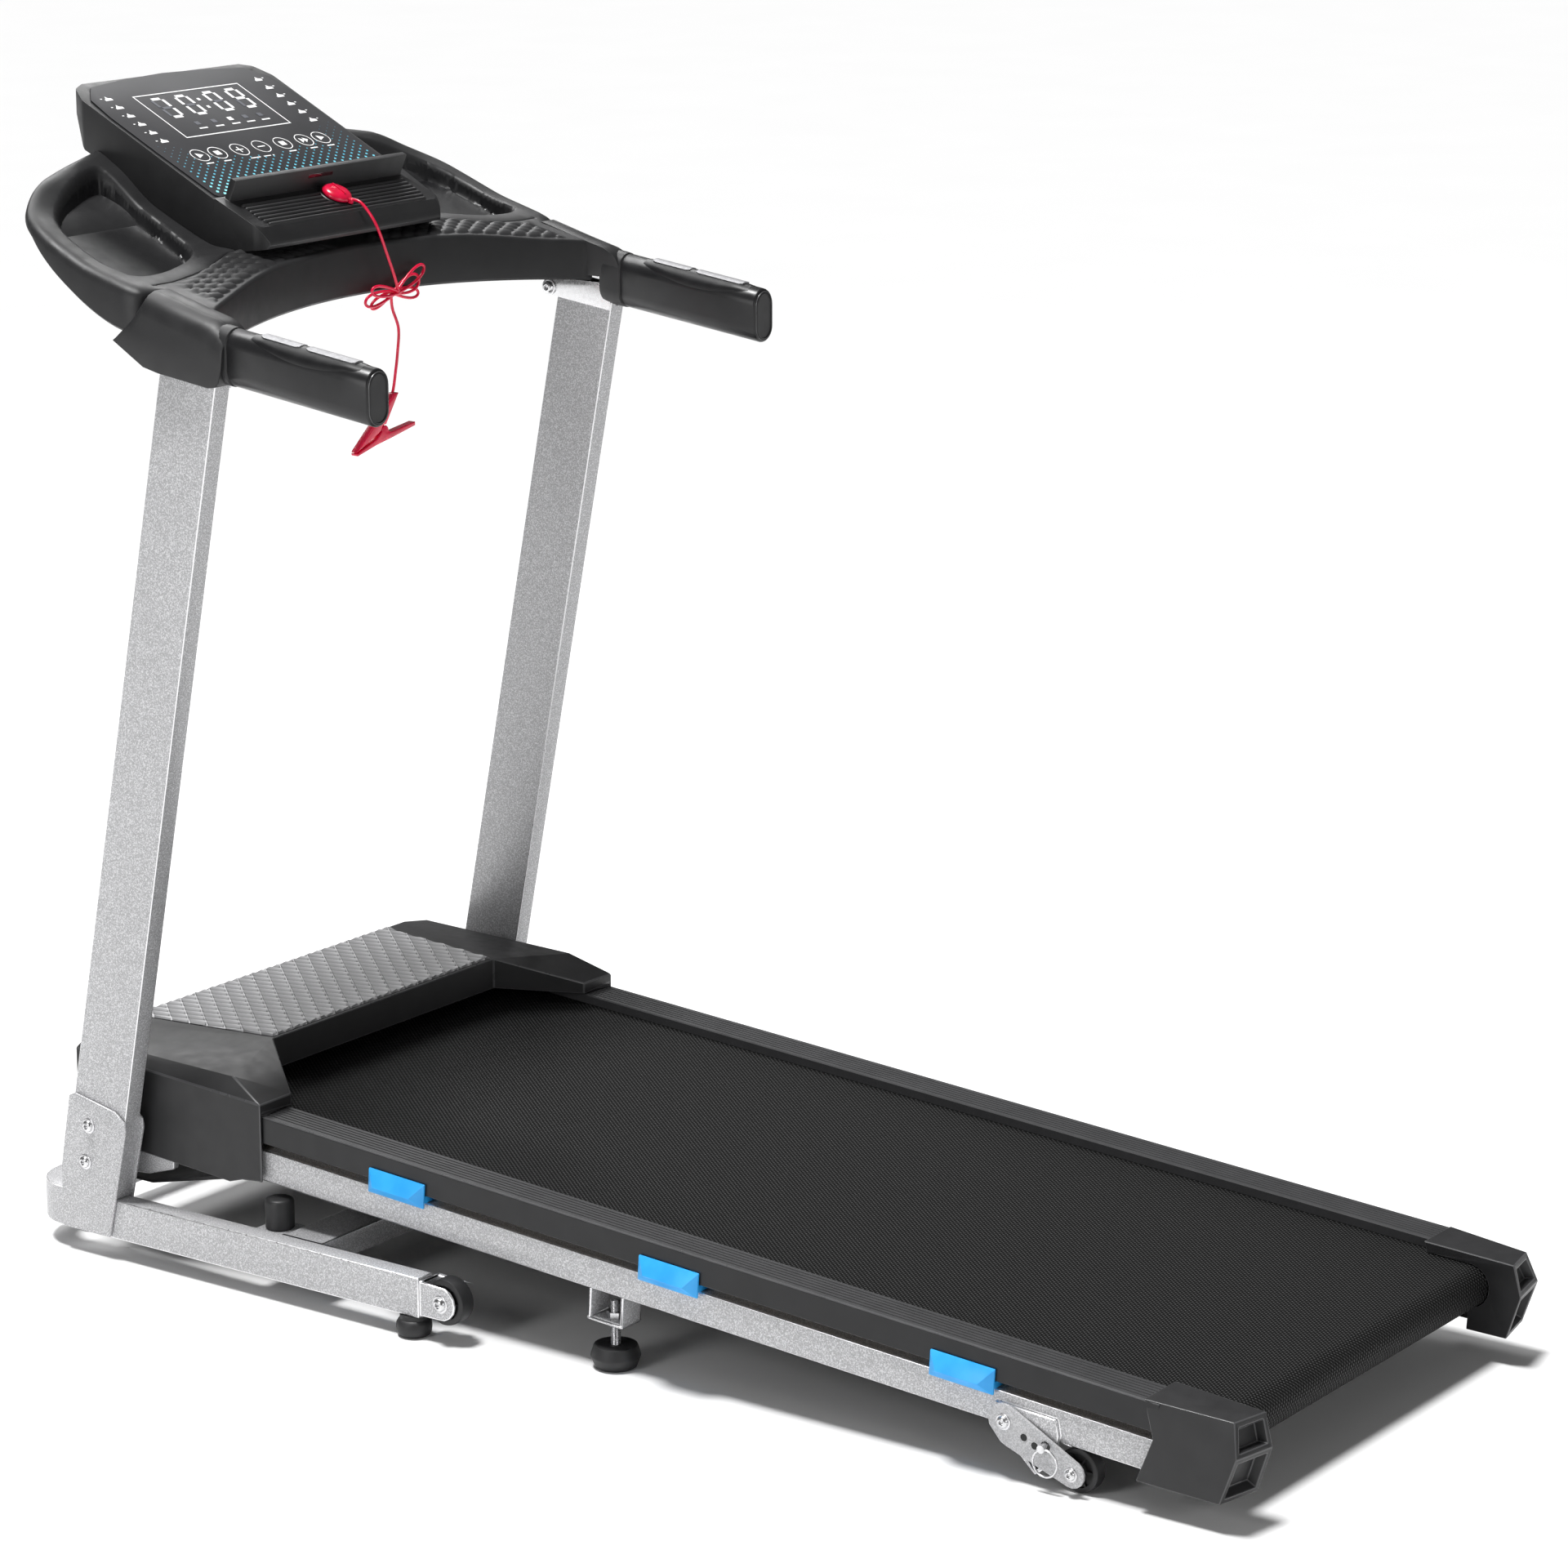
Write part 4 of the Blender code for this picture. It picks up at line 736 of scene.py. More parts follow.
def make_legs():
    """Incline legs with their screws, pin rings and small wheels."""
    for side, s in SIDES:
        leg = "incline_leg_" + side
        refined(leg, PLATE, leg, 0.0008, "steel", clamp=False)
        pivot, wheel_at = (-0.4827, 0.0535), (-0.5527, 0.0205)
        out = s * 0.2783
        shells = [screw((out, *pivot), (s, 0, 0), 0.0058), screw((out, *wheel_at), (s, 0, 0),
                                                                 0.0052)]
        piece("leg_screws_" + side, shells, STEEL, leg, 40, slot="steel")
        # Dark discs stand in for the holes: painted shade where the plate is open.
        holes = []
        for t in (0.30, 0.46):
            y = pivot[0] + (wheel_at[0] - pivot[0]) * t
            z = pivot[1] + (wheel_at[1] - pivot[1]) * t
            hole = lathe([(0.0, 0.0), (0.0031, 0.0), (0.0034, 0.0002)], "Z", (0, 0), 20)
            holes.append(place_shell(hole, aim((s * 0.27825, y, z), (s, 0, 0))))
        piece("leg_holes_" + side, holes, DEEP_BLACK_AND_SHADE, leg, 40, slot="black_plastic")
        refined("ring_pin_" + side, STEEL, "ring_pin_" + side, 0.0, "steel", smooth=60)
        wheel("incline_wheel_" + side, "incline_wheel_" + side, s, 0.2537, 0.2677, wheel_at,
              0.0205)


def panel_height(x, y):
    """Relief of the hood panel: steep ribs crossed by slats that fall towards the rear."""
    a = (x - RIB_RUN * y) / RIB_PITCH
    b = (x + SLAT_LEAN * y) / SLAT_PITCH
    fa, fb = a - math.floor(a), b - math.floor(b)
    slat = fb / 0.78 if fb < 0.78 else (1 - fb) / 0.22
    rib = max(0.0, 1 - min(fa, 1 - fa) / 0.09)
    return max(0.0017 * slat, 0.0018 * rib)


def split_concave(bm):
    """Split concave faces, so that a bevel can't fold one across an opening."""
    bmesh.ops.connect_verts_concave(bm, faces=list(bm.faces))


def make_hood():
    """Motor hood with its patterned panel."""
    refined("motor_hood", BLACK, "deck", 0.0014, "black_plastic", smooth=20, edge_look=PLASTIC_EDGE_HIGHLIGHT,
            clamp=False, carve=split_concave)
    panel = [(0.1700, 0.4475), (0.1810, 0.5150), (0.1910, 0.5870), (0.2000, 0.6095)]
    half = [(x, y + SHIFT) for x, y in panel]
    low_y, high_y = half[0][1], half[-1][1]
    rows, columns = 170, 430
    points, faces = [], []
    for r in range(rows + 1):
        y = low_y + (high_y - low_y) * r / rows
        edge = np.interp(y, [p[1] for p in half], [p[0] for p in half])
        for c in range(columns + 1):
            x = edge * (2 * c / columns - 1)
            rim = min(1.0, (edge - abs(x)) / 0.002, (y - low_y) / 0.002, (high_y - y) / 0.002)
            points.append((x, y, 0.2102 + max(0.0, rim) * (0.0004 + panel_height(x, y))))
    for r in range(rows):
        for c in range(columns):
            i = r * (columns + 1) + c
            faces.append((i, i + 1, i + columns + 2, i + columns + 1))
    top = (points, faces)
    outline = half + [(-x, y) for x, y in reversed(half)]
    piece("lozenge_panel", [top, prism(outline, "Z", 0.2097, 0.2103)], PANEL, "deck", 12,
          replaced=("hood_panel",), slot="panel_grey")


def make_deck():
    refined("deck_frame", SILVER, "deck", 0.0011, "silver_paint", clamp=False, edge_look=SILVER_EDGE_GLINT)
    make_belt()
    make_rails()
    make_cushions()
    make_caps()
    make_feet()
    make_legs()
    make_hood()
    refined("motor_pan", DEEP_BLACK_AND_SHADE, "deck", 0.0, "black_plastic")
    refined("running_board", WOOD, "deck", 0.0008, "wood_board")
    refined("motor", DARK_STEEL, "deck", 0.0010, "steel")
    refined("drive_belt", RUBBER, "deck", 0.0, "rubber")
    refined("motor_pulley", STEEL, "motor_rotor", 0.0004, "steel")
    for end in ("front", "rear"):
        refined(end + "_roller", DARK_STEEL, end + "_roller", 0.0005, "steel", smooth=40)
    refined("gas_cylinder", DEEP_BLACK_AND_SHADE, "strut_cylinder", 0.0006, "black_plastic", smooth=40)
    refined("gas_rod", STEEL, "strut_rod", 0.0004, "steel", smooth=40)
    refined("power_switch", RED, "switch", 0.0004, "red_plastic")


# ------------------------------------------------------------------ console
WING_TOP = [(0.370, 0.9425), (0.386, 0.9475), (0.472, 0.9685), (0.530, 0.9845),
            (0.570, 1.0015), (0.610, 1.0205), (0.640, 1.0365), (0.670, 1.0545),
            (0.700, 1.0675)]
WING_LOW = [(0.370, 0.9050), (0.490, 0.9285), (0.521, 0.9425), (0.549, 0.9595),
            (0.577, 0.9785), (0.596, 0.9950), (0.610, 1.0100), (0.700, 1.0500)]
ARCH_R, ARCH_Y = 0.628, 0.462


def profile_at(curve, y):
    """A profile's height at y, its corners eased over two centimetres."""
    steps = [np.interp(y - SHIFT + d, [p[0] for p in curve], [p[1] for p in curve])
             for d in (-0.012, -0.008, -0.004, 0.0, 0.004, 0.008, 0.012)]
    return sum(steps) / len(steps)


def arch(x):
    """The arm rest's arched rear edge: y for an x."""
    return ARCH_Y - ARCH_R + math.sqrt(ARCH_R ** 2 - x ** 2) + SHIFT


def smoothstep(t):
    t = np.clip(t, 0.0, 1.0)
    return t * t * (3 - 2 * t)


def away(points, line, closed=True):
    """How far each plan point is from a polyline."""
    line = np.array(line, float)
    ends = np.roll(line, -1, axis=0) if closed else line[1:]
    starts = line if closed else line[:-1]
    best = np.full(len(points), 1e9)
    for a, b in zip(starts, ends):
        d = b - a
        t = np.clip(((points - a) @ d) / max(d @ d, 1e-12), 0, 1)
        best = np.minimum(best, np.hypot(*(points - a - t[:, None] * d).T))
    return best


def inside(points, loop):
    """Which plan points lie within a loop."""
    x, y = points[:, 0], points[:, 1]
    hit = np.zeros(len(points), bool)
    for (x0, y0), (x1, y1) in zip(loop, loop[1:] + loop[:1]):
        cross = (y0 > y) != (y1 > y)
        with np.errstate(divide="ignore", invalid="ignore"):
            at = x0 + (y - y0) * (x1 - x0) / (y1 - y0)
        hit ^= cross & (x < at)
    return hit


def resample(loop, step):
    """A closed loop with points about a step apart."""
    out = []
    for a, b in zip(loop, loop[1:] + loop[:1]):
        n = max(1, round(math.dist(a, b) / step))
        out += [(a[0] + (b[0] - a[0]) * i / n, a[1] + (b[1] - a[1]) * i / n) for i in range(n)]
    return out


def soften(loop, passes=2):
    """Corner cutting, which turns a polygon into a smooth closed curve."""
    for _ in range(passes):
        out = []
        for a, b in zip(loop, loop[1:] + loop[:1]):
            out.append((0.75 * a[0] + 0.25 * b[0], 0.75 * a[1] + 0.25 * b[1]))
            out.append((0.25 * a[0] + 0.75 * b[0], 0.25 * a[1] + 0.75 * b[1]))
        loop = out
    return loop


def shifted(loop, distance):
    """A closed loop moved to its left by a small distance."""
    p = np.array(loop, float)
    d = np.roll(p, -1, axis=0) - np.roll(p, 1, axis=0)
    d /= np.maximum(np.hypot(*d.T)[:, None], 1e-9)
    return [tuple(q) for q in p + distance * np.stack([-d[:, 1], d[:, 0]], axis=1)]


def wing_edge():
    """Plan of the console's wing, anticlockwise from the arch's middle."""
    side = [(0.2990, 0.4600), (0.3100, 0.4640), (0.3155, 0.4760), (0.3165, 0.5000),
            (0.3163, 0.5250), (0.3150, 0.5500), (0.3125, 0.5750), (0.3060, 0.6020),
            (0.2920, 0.6240), (0.2720, 0.6390), (0.2450, 0.6500), (0.1810, 0.6680),
            (0.1000, 0.6860), (0.0, 0.6930)]
    side = [(p.x, p.y) for p in smooth_path([(x, y, 0) for x, y in side], 0.004)]
    rear = [(0.01 * i, arch(0.01 * i)) for i in range(29)]
    rear += [(0.2850, arch(0.2850)), (0.2850, 0.4560)]
    half = rear + [(x, y + SHIFT) for x, y in side]
    return half + [(-x, y) for x, y in reversed(half[1:-1])]


def tray_edge(s):
    loop = [(0.1720, 0.5080), (0.2850, 0.4830), (0.2900, 0.5200), (0.2860, 0.5720),
            (0.2740, 0.6020), (0.2480, 0.6220), (0.1700, 0.6530), (0.1580, 0.6400),
            (0.1600, 0.5700)]
    loop = soften([(s * x, y + SHIFT) for x, y in loop], 3)
    return loop if s > 0 else loop[::-1]


def leaf_relief(points):
    """Overlapping leaf-like scales in rows that follow the arch."""
    x, y = points[:, 0], points[:, 1]
    centre = ARCH_Y - ARCH_R + SHIFT
    reach = np.hypot(x, y - centre) - ARCH_R
    along = ARCH_R * np.arctan2(x, y - centre)
    best = np.zeros(len(points))
    pitch_s, pitch_r = 0.0170, 0.0088
    row = np.floor(reach / pitch_r)
    for dr in (-1, 0, 1):
        for ds in (-1, 0, 1):
            r_row = row + dr
            offset = np.where(r_row % 2 == 0, 0.0, 0.5)
            cell = np.floor(along / pitch_s - offset) + ds
            cs, cr = (cell + 0.5 + offset) * pitch_s, (r_row + 0.5) * pitch_r
            u, v = along - cs, reach - cr
            turn = 0.42 * np.sign(x)
            p = (u * np.cos(turn) + v * np.sin(turn)) / 0.0125
            q = (-u * np.sin(turn) + v * np.cos(turn)) / 0.0056
            rho = p * p + q * q
            bump = np.where(rho < 1, np.sqrt(np.clip(1 - rho, 0, 1)) * (0.70 + 0.30 * q), 0)
            allowed = (r_row >= 1) & (r_row <= 4)
            best = np.maximum(best, np.where(allowed, bump, 0))
    fade = smoothstep((0.268 - np.abs(x)) / 0.012) * smoothstep((np.abs(x) - 0.02) / 0.02)
    return 0.0024 * best * fade


def make_wing():
    """The console's body as one moulding: rounded rim, two trays and the arm rest band."""
    edge = resample(wing_edge(), 0.005)
    seam = [(-0.285, 0.471), (-0.260, 0.471), (-0.200, 0.481), (-0.150, 0.500),
            (-0.120, 0.503), (0.120, 0.503), (0.150, 0.500), (0.200, 0.481), (0.260, 0.471),
            (0.285, 0.471)]
    trays = [tray_edge(s) for _, s in SIDES]
    rings = [shifted(edge, d) for d in (0.0010, 0.0022, 0.0036, 0.0054, 0.0076, 0.0105, 0.014,
                                        0.019)]
    plan = list(edge)
    loops = len(plan)
    for loop in rings:
        plan += loop
    for tray in trays:
        fine = resample(tray, 0.0035)
        for d in (-0.004, -0.002, 0.0, 0.0015, 0.003, 0.006, 0.010, 0.016):
            plan += shifted(fine, d)
    fine_seam = resample(seam + seam[::-1][1:-1], 0.004)
    for d in (-0.0016, -0.0007, 0.0, 0.0007, 0.0016):
        plan += [(x, y + d) for x, y in fine_seam]
    grid = []
    centre = ARCH_Y - ARCH_R + SHIFT
    for k in range(3, 38):
        r = ARCH_R + 0.0012 * k
        span = int(0.285 / 0.0015)
        for i in range(-span, span + 1):
            a = i * 0.0015 / ARCH_R
            grid.append((r * math.sin(a), centre + r * math.cos(a)))
    for i in range(-64, 65):
        for j in range(0, 46):
            grid.append((i * 0.005, 0.500 + j * 0.0045))
    grid = np.array(plan[loops:] + grid)
    ok = inside(grid, [tuple(p) for p in edge]) & (away(grid, edge) > 0.0009)
    plan = plan[:loops] + [tuple(p) for p in grid[ok]]
    made = delaunay_2d_cdt([Vector(p) for p in plan], [], [list(range(loops))], 1, 1e-5)
    flat = np.array([tuple(v) for v in made[0]], float)
    x, y = flat[:, 0], flat[:, 1]
    margin = away(flat, edge)
    on_edge = margin < 1e-5
    top = profile_at(WING_TOP, y)
    raise_by = 0.010 * smoothstep((y - 0.600) / 0.05) * smoothstep((0.295 - np.abs(x)) / 0.06)
    middle = smoothstep((0.25 - np.abs(x)) / 0.12)
    top = top + raise_by + 0.0055 * middle * smoothstep((0.535 - y) / 0.04)
    # outer rim: a broad shoulder; the arch and the ends keep a small radius
    broad = smoothstep((y - 0.452) / 0.025) * smoothstep((np.abs(x) - 0.10) / 0.05)
    reach = 0.0035 + 0.0105 * broad
    fall = 0.0030 + 0.0080 * broad
    t = np.clip(1 - margin / reach, 0, 1)
    z = top - fall * (1 - np.sqrt(np.clip(1 - t * t, 0, 1)))
    for tray in trays:
        gap = away(flat, tray)
        within = inside(flat, tray)
        floor = 0.9480 + 0.42 * (y - 0.478 - SHIFT)
        lip = np.clip(1 - gap / 0.0032, 0, 1)
        z = np.where(~within, z - 0.0028 * lip ** 2, z)
        depth = smoothstep(gap / 0.0045)
        rimmed = z - 0.0028
        z = np.where(within, rimmed * (1 - depth) + floor * depth, z)
    groove = np.clip(1 - away(flat, seam, closed=False) / 0.0011, 0, 1)
    clear = np.minimum(*[np.where(inside(flat, t), 0, away(flat, t)) for t in trays])
    z = z - 0.0012 * smoothstep(groove) * (clear > 0.001)
    open_band = smoothstep((margin - 0.004) / 0.004) * smoothstep((clear - 0.006) / 0.006)
    z = z + 1.7 * leaf_relief(flat) * open_band * smoothstep((0.505 - y) / 0.01)
    n = len(flat)
    points = list(zip(x, y, z))
    faces = [tuple(f) for f in made[2]]
    # the skirt drops from the rim to the underside, which is drawn in a little at its foot
    order = [i for i in range(n) if on_edge[i]]
    where = {tuple(np.round(flat[i], 6)): i for i in order}
    chain = [where[tuple(np.round(p, 6))] for p in edge if tuple(np.round(p, 6)) in where]
    inner = shifted([tuple(flat[i]) for i in chain], 0.0020)
    mid_ring, low_ring = [], []
    for i, p in zip(chain, inner):
        foot = min(float(profile_at(WING_LOW, y[i])), z[i] - 0.004)
        mid_ring.append(len(points))
        points.append((x[i], y[i], foot + 0.0022))
        low_ring.append(len(points))
        points.append((p[0], p[1], foot))
    m = len(chain)
    for k in range(m):
        j = (k + 1) % m
        faces.append((chain[k], chain[j], mid_ring[j], mid_ring[k]))
        faces.append((mid_ring[k], mid_ring[j], low_ring[j], low_ring[k]))
    base = [(points[i][0], points[i][1]) for i in low_ring]
    inner_grid = np.array([(i * 0.012, 0.385 + j * 0.010) for i in range(-27, 28)
                           for j in range(0, 34)])
    ok = inside(inner_grid, base) & (away(inner_grid, base) > 0.004)
    under = base + [tuple(p) for p in inner_grid[ok]]
    bottom = delaunay_2d_cdt([Vector(p) for p in under], [], [list(range(len(base)))], 1, 1e-6)
    offset = len(points)
    for v in bottom[0]:
        points.append((v[0], v[1], float(profile_at(WING_LOW, v[1]))))
    for k, i in enumerate(low_ring):
        points[offset + k] = points[i]
    faces += [tuple(offset + i for i in reversed(f)) for f in bottom[2]]
    wing = piece("console_wing", [(points, faces)], BLACK, "base", 38,
                 replaced=("console_lower_shell", "console_upper_shell"), slot="black_plastic",
                 weld=1e-5)
    wing.data.materials.append(DEEP_BLACK_AND_SHADE)
    # Tray floors and walls take the deeper black as painted shade in the recesses.
    middles = np.array([tuple(f.center) for f in wing.data.polygons])
    shaded_tray = middles[:, 2] < profile_at(WING_TOP, middles[:, 1]) - 0.0045
    shaded_tray &= middles[:, 2] > profile_at(WING_LOW, middles[:, 1]) + 0.001
    shaded_tray &= np.any([inside(middles[:, :2], tray) for tray in trays], axis=0)
    for face, low in zip(wing.data.polygons, shaded_tray):
        if low:
            face.material_index = 1


def plane(x, y, up=0.0):
    """A point on the display plane, raised square to it; y is in the drawing's frame."""
    n = Vector((0, -RISE, 1)).normalized()
    p = Vector((x, y + SHIFT, 1.0736 + RISE * (y - 0.6105))) + n * up
    return tuple(p)


def flat_piece(name, polygons, look, slot, up=0.00035, thick=0.00022):
    """Thin printed shapes on the display film; each polygon is a list of (x, y)."""
    shells = []
    for polygon in polygons:
        n = len(polygon)
        points = [plane(x, y, up) for x, y in polygon]
        points += [plane(x, y, up - thick) for x, y in polygon]
        faces = [tuple(range(n))] + [(i, (i + 1) % n, n + (i + 1) % n, n + i)
                                     for i in range(n)]
        shells.append((points, faces))
    return piece(name, shells, look, "base", 30, slot=slot)


def stroke(a, b, width):
    """A straight line of a given width as a four-sided polygon."""
    dx, dy = b[0] - a[0], b[1] - a[1]
    n = math.hypot(dx, dy)
    ox, oy = -dy / n * width / 2, dx / n * width / 2
    return [(a[0] + ox, a[1] + oy), (a[0] - ox, a[1] - oy), (b[0] - ox, b[1] - oy),
            (b[0] + ox, b[1] + oy)]


def circle_line(cx, cy, radius, width, steps=28):
    """A ring that looks round on the sloping film."""
    out = []
    far = 1 / math.hypot(1, RISE)
    for i in range(steps):
        a0, a1 = 2 * math.pi * i / steps, 2 * math.pi * (i + 1) / steps
        out.append([(cx + r * math.cos(a), cy + r * math.sin(a) * far)
                    for r, a in ((radius, a0), (radius + width, a0), (radius + width, a1),
                                 (radius, a1))])
    return out


SEGMENTS = {"a": ((0.12, 1), (0.88, 1)), "b": ((1, 0.94), (1, 0.56)), "c": ((1, 0.44), (1, 0.06)),
            "d": ((0.12, 0), (0.88, 0)), "e": ((0, 0.06), (0, 0.44)), "f": ((0, 0.56), (0, 0.94)),
            "g": ((0.12, 0.5), (0.88, 0.5))}
LIT = {0: "abcdef", 9: "abcdfg"}
KEY_X, KEY_Y = (-0.0895, -0.064, -0.032, 0.0, 0.032, 0.064, 0.0895), 0.5838


def make_prints():
    """Digits, key row, side scales and the field of dots, all generic shapes."""
    lit, dim = [], []
    width, height = 0.0155, 0.0300
    for digit, x0 in ((0, -0.0600), (0, -0.0255), (0, 0.0150), (9, 0.0480)):
        for key, (p, q) in SEGMENTS.items():
            a = (x0 + p[0] * width, 0.6445 + p[1] * height)
            b = (x0 + q[0] * width, 0.6445 + q[1] * height)
            on = key in LIT[digit] and not (x0 < -0.05 and key in "ef")
            (lit if on else dim).append(stroke(a, b, 0.0036))
    for y in (0.6530, 0.6660):
        lit.append(stroke((0.0012, y - 0.0018), (0.0012, y + 0.0018), 0.0036))
    frame_line = [(-0.0765, 0.6120), (0.0765, 0.6120), (0.0765, 0.6820), (-0.0765, 0.6820)]
    for a, b in zip(frame_line, frame_line[1:] + frame_line[:1]):
        d = (b[0] - a[0], b[1] - a[1])
        n = math.hypot(*d)
        e = (d[0] / n * 0.0006, d[1] / n * 0.0006)
        lit.append(stroke((a[0] - e[0], a[1] - e[1]), (b[0] + e[0], b[1] + e[1]), 0.0012))
    for i, x in enumerate((-0.040, -0.016, 0.008, 0.030, 0.052)):
        look = lit if i == 2 else dim
        look.append(stroke((x - 0.0032, 0.6310), (x + 0.0032, 0.6310), 0.0052))
        lit.append(stroke((x - 0.0058, 0.6228), (x + 0.0058, 0.6228), 0.0017))
    for i, x in enumerate(KEY_X):
        lit += circle_line(x, KEY_Y, 0.0098, 0.0009)
        if i in (2, 3):
            lit.append(stroke((x - 0.0052, KEY_Y), (x + 0.0052, KEY_Y), 0.0013))
        if i == 2:
            lit.append(stroke((x, 0.5795), (x, 0.5881), 0.0013))
        if i in (0, 6):
            lit.append([(x - 0.0038, 0.5800), (x + 0.0048, KEY_Y), (x - 0.0038, 0.5876)])
        if i in (1, 4):
            lit.append(stroke((x - 0.0038, KEY_Y), (x + 0.0038, KEY_Y), 0.0062))
        if i == 5:
            lit.append([(x - 0.0048, 0.5876), (x - 0.0048, 0.5800), (x + 0.0006, KEY_Y)])
            lit.append([(x + 0.0006, 0.5876), (x + 0.0006, 0.5800), (x + 0.0058, KEY_Y)])
        if i not in (2, 3):
            lit.append(stroke((x - 0.0052, 0.5705), (x + 0.0052, 0.5705), 0.0014))
    for a, b in (((-0.032, 0.5688), (-0.018, 0.5688)), ((-0.013, 0.5688), (-0.003, 0.5688)),
                 ((0.0, 0.5688), (0.002, 0.5688))):
        lit.append(stroke(a, b, 0.0012))
    for s in (-1, 1):
        for k in range(6):
            y = 0.6120 + 0.0144 * k
            x = s * 0.110
            lit.append([(x - 0.0050, y - 0.0026), (x + 0.0050, y - 0.0026),
                        (x + 0.0050, y + 0.0004), (x + 0.0014, y + 0.0012),
                        (x - 0.0006, y + 0.0040), (x - 0.0022, y + 0.0012),
                        (x - 0.0050, y - 0.0006)])
            lit.append(stroke((x + s * 0.0085 - 0.0012, y + 0.0012),
                              (x + s * 0.0085 + 0.0012, y + 0.0012), 0.0011))
    flat_piece("display_print", lit, WHITE, "overlay")
    flat_piece("unlit_segments", dim, FAINT, "overlay")
    dots = []
    for row in range(22):
        y = 0.5250 + 0.0042 * row
        shift = 0.0060 if row % 2 else 0.0
        for k in range(-11, 12):
            x = k * 0.0120 + shift
            rise = 0.047 + 0.044 * abs(x / 0.13) ** 2
            if abs(x) > 0.1310 or y - 0.5235 > rise:
                continue
            if any(math.hypot(x - c, (y - KEY_Y) * 1.1) < 0.0122 for c in KEY_X):
                continue
            size = 0.0022 * max(0.35, 1.0 - 0.040 * row)
            dots.append([(x - size, y - 0.3 * size), (x + 0.2 * size, y - 0.8 * size),
                         (x + size, y + 0.3 * size), (x - 0.2 * size, y + 0.8 * size)])
    flat_piece("cyan_dots", dots, CYAN, "overlay", up=0.0003)


def round_corners(bm):
    """Round the head's upper corners and the shelf's front ones, seen square to its face."""
    up = (Vector(plane(0, 0.6, 1.0)) - Vector(plane(0, 0.6, 0.0))).normalized()
    for low, high, radius in ((0.600, 0.800, 0.013), (0.400, 0.500, 0.009)):
        edges = []
        for e in bm.edges:
            run = e.verts[1].co - e.verts[0].co
            middle = (e.verts[0].co + e.verts[1].co) / 2
            if (run.length > 0.006 and abs(run.normalized().dot(up)) > 0.80
                    and abs(middle.x) > 0.08 and low < middle.y < high
                    and e.calc_face_angle(0.0) > 0.12):
                edges.append(e)
        if edges:
            bmesh.ops.bevel(bm, geom=edges, offset=radius, segments=6, affect="EDGES",
                            clamp_overlap=True, profile=0.5)


def make_head():
    """The display head: housing, film, ribbed shelf and a small dark window."""
    refined("display_housing", BLACK, "base", 0.0020, "black_plastic", smooth=32, segments=3,
            edge_look=PLASTIC_EDGE_HIGHLIGHT, clamp=True, carve=round_corners)
    film = [(0.0, 0.5218), (0.1305, 0.5218), (0.1340, 0.5255), (0.1357, 0.5980),
            (0.1355, 0.6580), (0.1315, 0.6865), (0.1115, 0.7050), (0.0600, 0.7105),
            (0.0, 0.7130)]
    outline = film + [(-x, y) for x, y in reversed(film[1:-1])]
    flat, faces = prism(outline, "Z", 0.0001, -0.0009)
    points = [plane(*p) for p in flat]
    piece("printed_film", [(points, faces)], FILM, "base", 30, bevel=0.0003,
          replaced=("touch_overlay",), slot="overlay")
    make_prints()
    ribs = []
    for k in range(7):
        y = 0.4725 + 0.0051 * k
        half = 0.1175 + 0.0020 * min(k, 2)
        section = [(-0.0020, 0.0001), (-0.0015, 0.0016), (0.0, 0.0021), (0.0015, 0.0016),
                   (0.0020, 0.0001)]
        rows = []
        for x in (-half, -half + 0.0015, half - 0.0015, half):
            squeeze = 0.3 if abs(x) == half else 1.0
            rows.append([plane(x, y + dy * squeeze, up * squeeze) for dy, up in section])
        ribs.append(loft(rows))
    piece("shelf_ribs", ribs, BLACK, "base", 50, slot="black_plastic")
    points = [(x, y + SHIFT, z) for y, z in ((0.5065, 1.0405), (0.5091, 1.0352),
                                             (0.5060, 1.0403), (0.5086, 1.0350))
              for x in (-0.018, 0.018)]
    faces = [(0, 1, 3, 2), (4, 6, 7, 5), (0, 4, 5, 1), (2, 3, 7, 6), (0, 2, 6, 4), (1, 5, 7, 3)]
    piece("ir_window", [(points, faces)], SCREEN, "base", 30, bevel=0.0002, slot="overlay")


def make_collar(side, s):
    """The cover round the upright's head, with a broad shoulder outside and on top."""
    shape = [(0.3560, 0.9275), (0.3600, 0.9350), (0.3660, 0.9405), (0.3760, 0.9450),
             (0.3860, 0.9475), (0.4080, 0.9530), (0.4545, 0.9655), (0.4675, 0.9500),
             (0.4925, 0.9175), (0.4550, 0.8955), (0.4370, 0.8915), (0.3750, 0.8835),
             (0.3660, 0.8850), (0.3620, 0.8890), (0.3580, 0.9025)]
    shape = [(y + SHIFT, z) for y, z in shape]
    levels = [(0.2975, 0.0), (0.2990, 0.0), (0.3020, 0.0010), (0.3070, 0.0030),
              (0.3112, 0.0060), (0.3145, 0.0100), (0.3168, 0.0150), (0.3180, 0.0215)]
    sections = []
    for x, drop in levels:
        row = []
        for y, z in shape:
            share = min(1.0, max(0.0, (z - 0.9200) / 0.02))
            row.append((s * x, y, z - drop * share))
        sections.append(row)
    roof = [(y, z) for y, z in shape if z > 0.915]
    roof += [(0.4685 + SHIFT, 0.9150), (0.3610 + SHIFT, 0.9150)]
    inner = prism(roof, "X", *sorted((s * 0.2800, s * 0.2985)))
    piece("collar_" + side, [loft(sections), inner], BLACK, "base", 38, bevel=0.0010,
          replaced=("side_cover_" + side,), slot="black_plastic", angle=40, clamp=False)


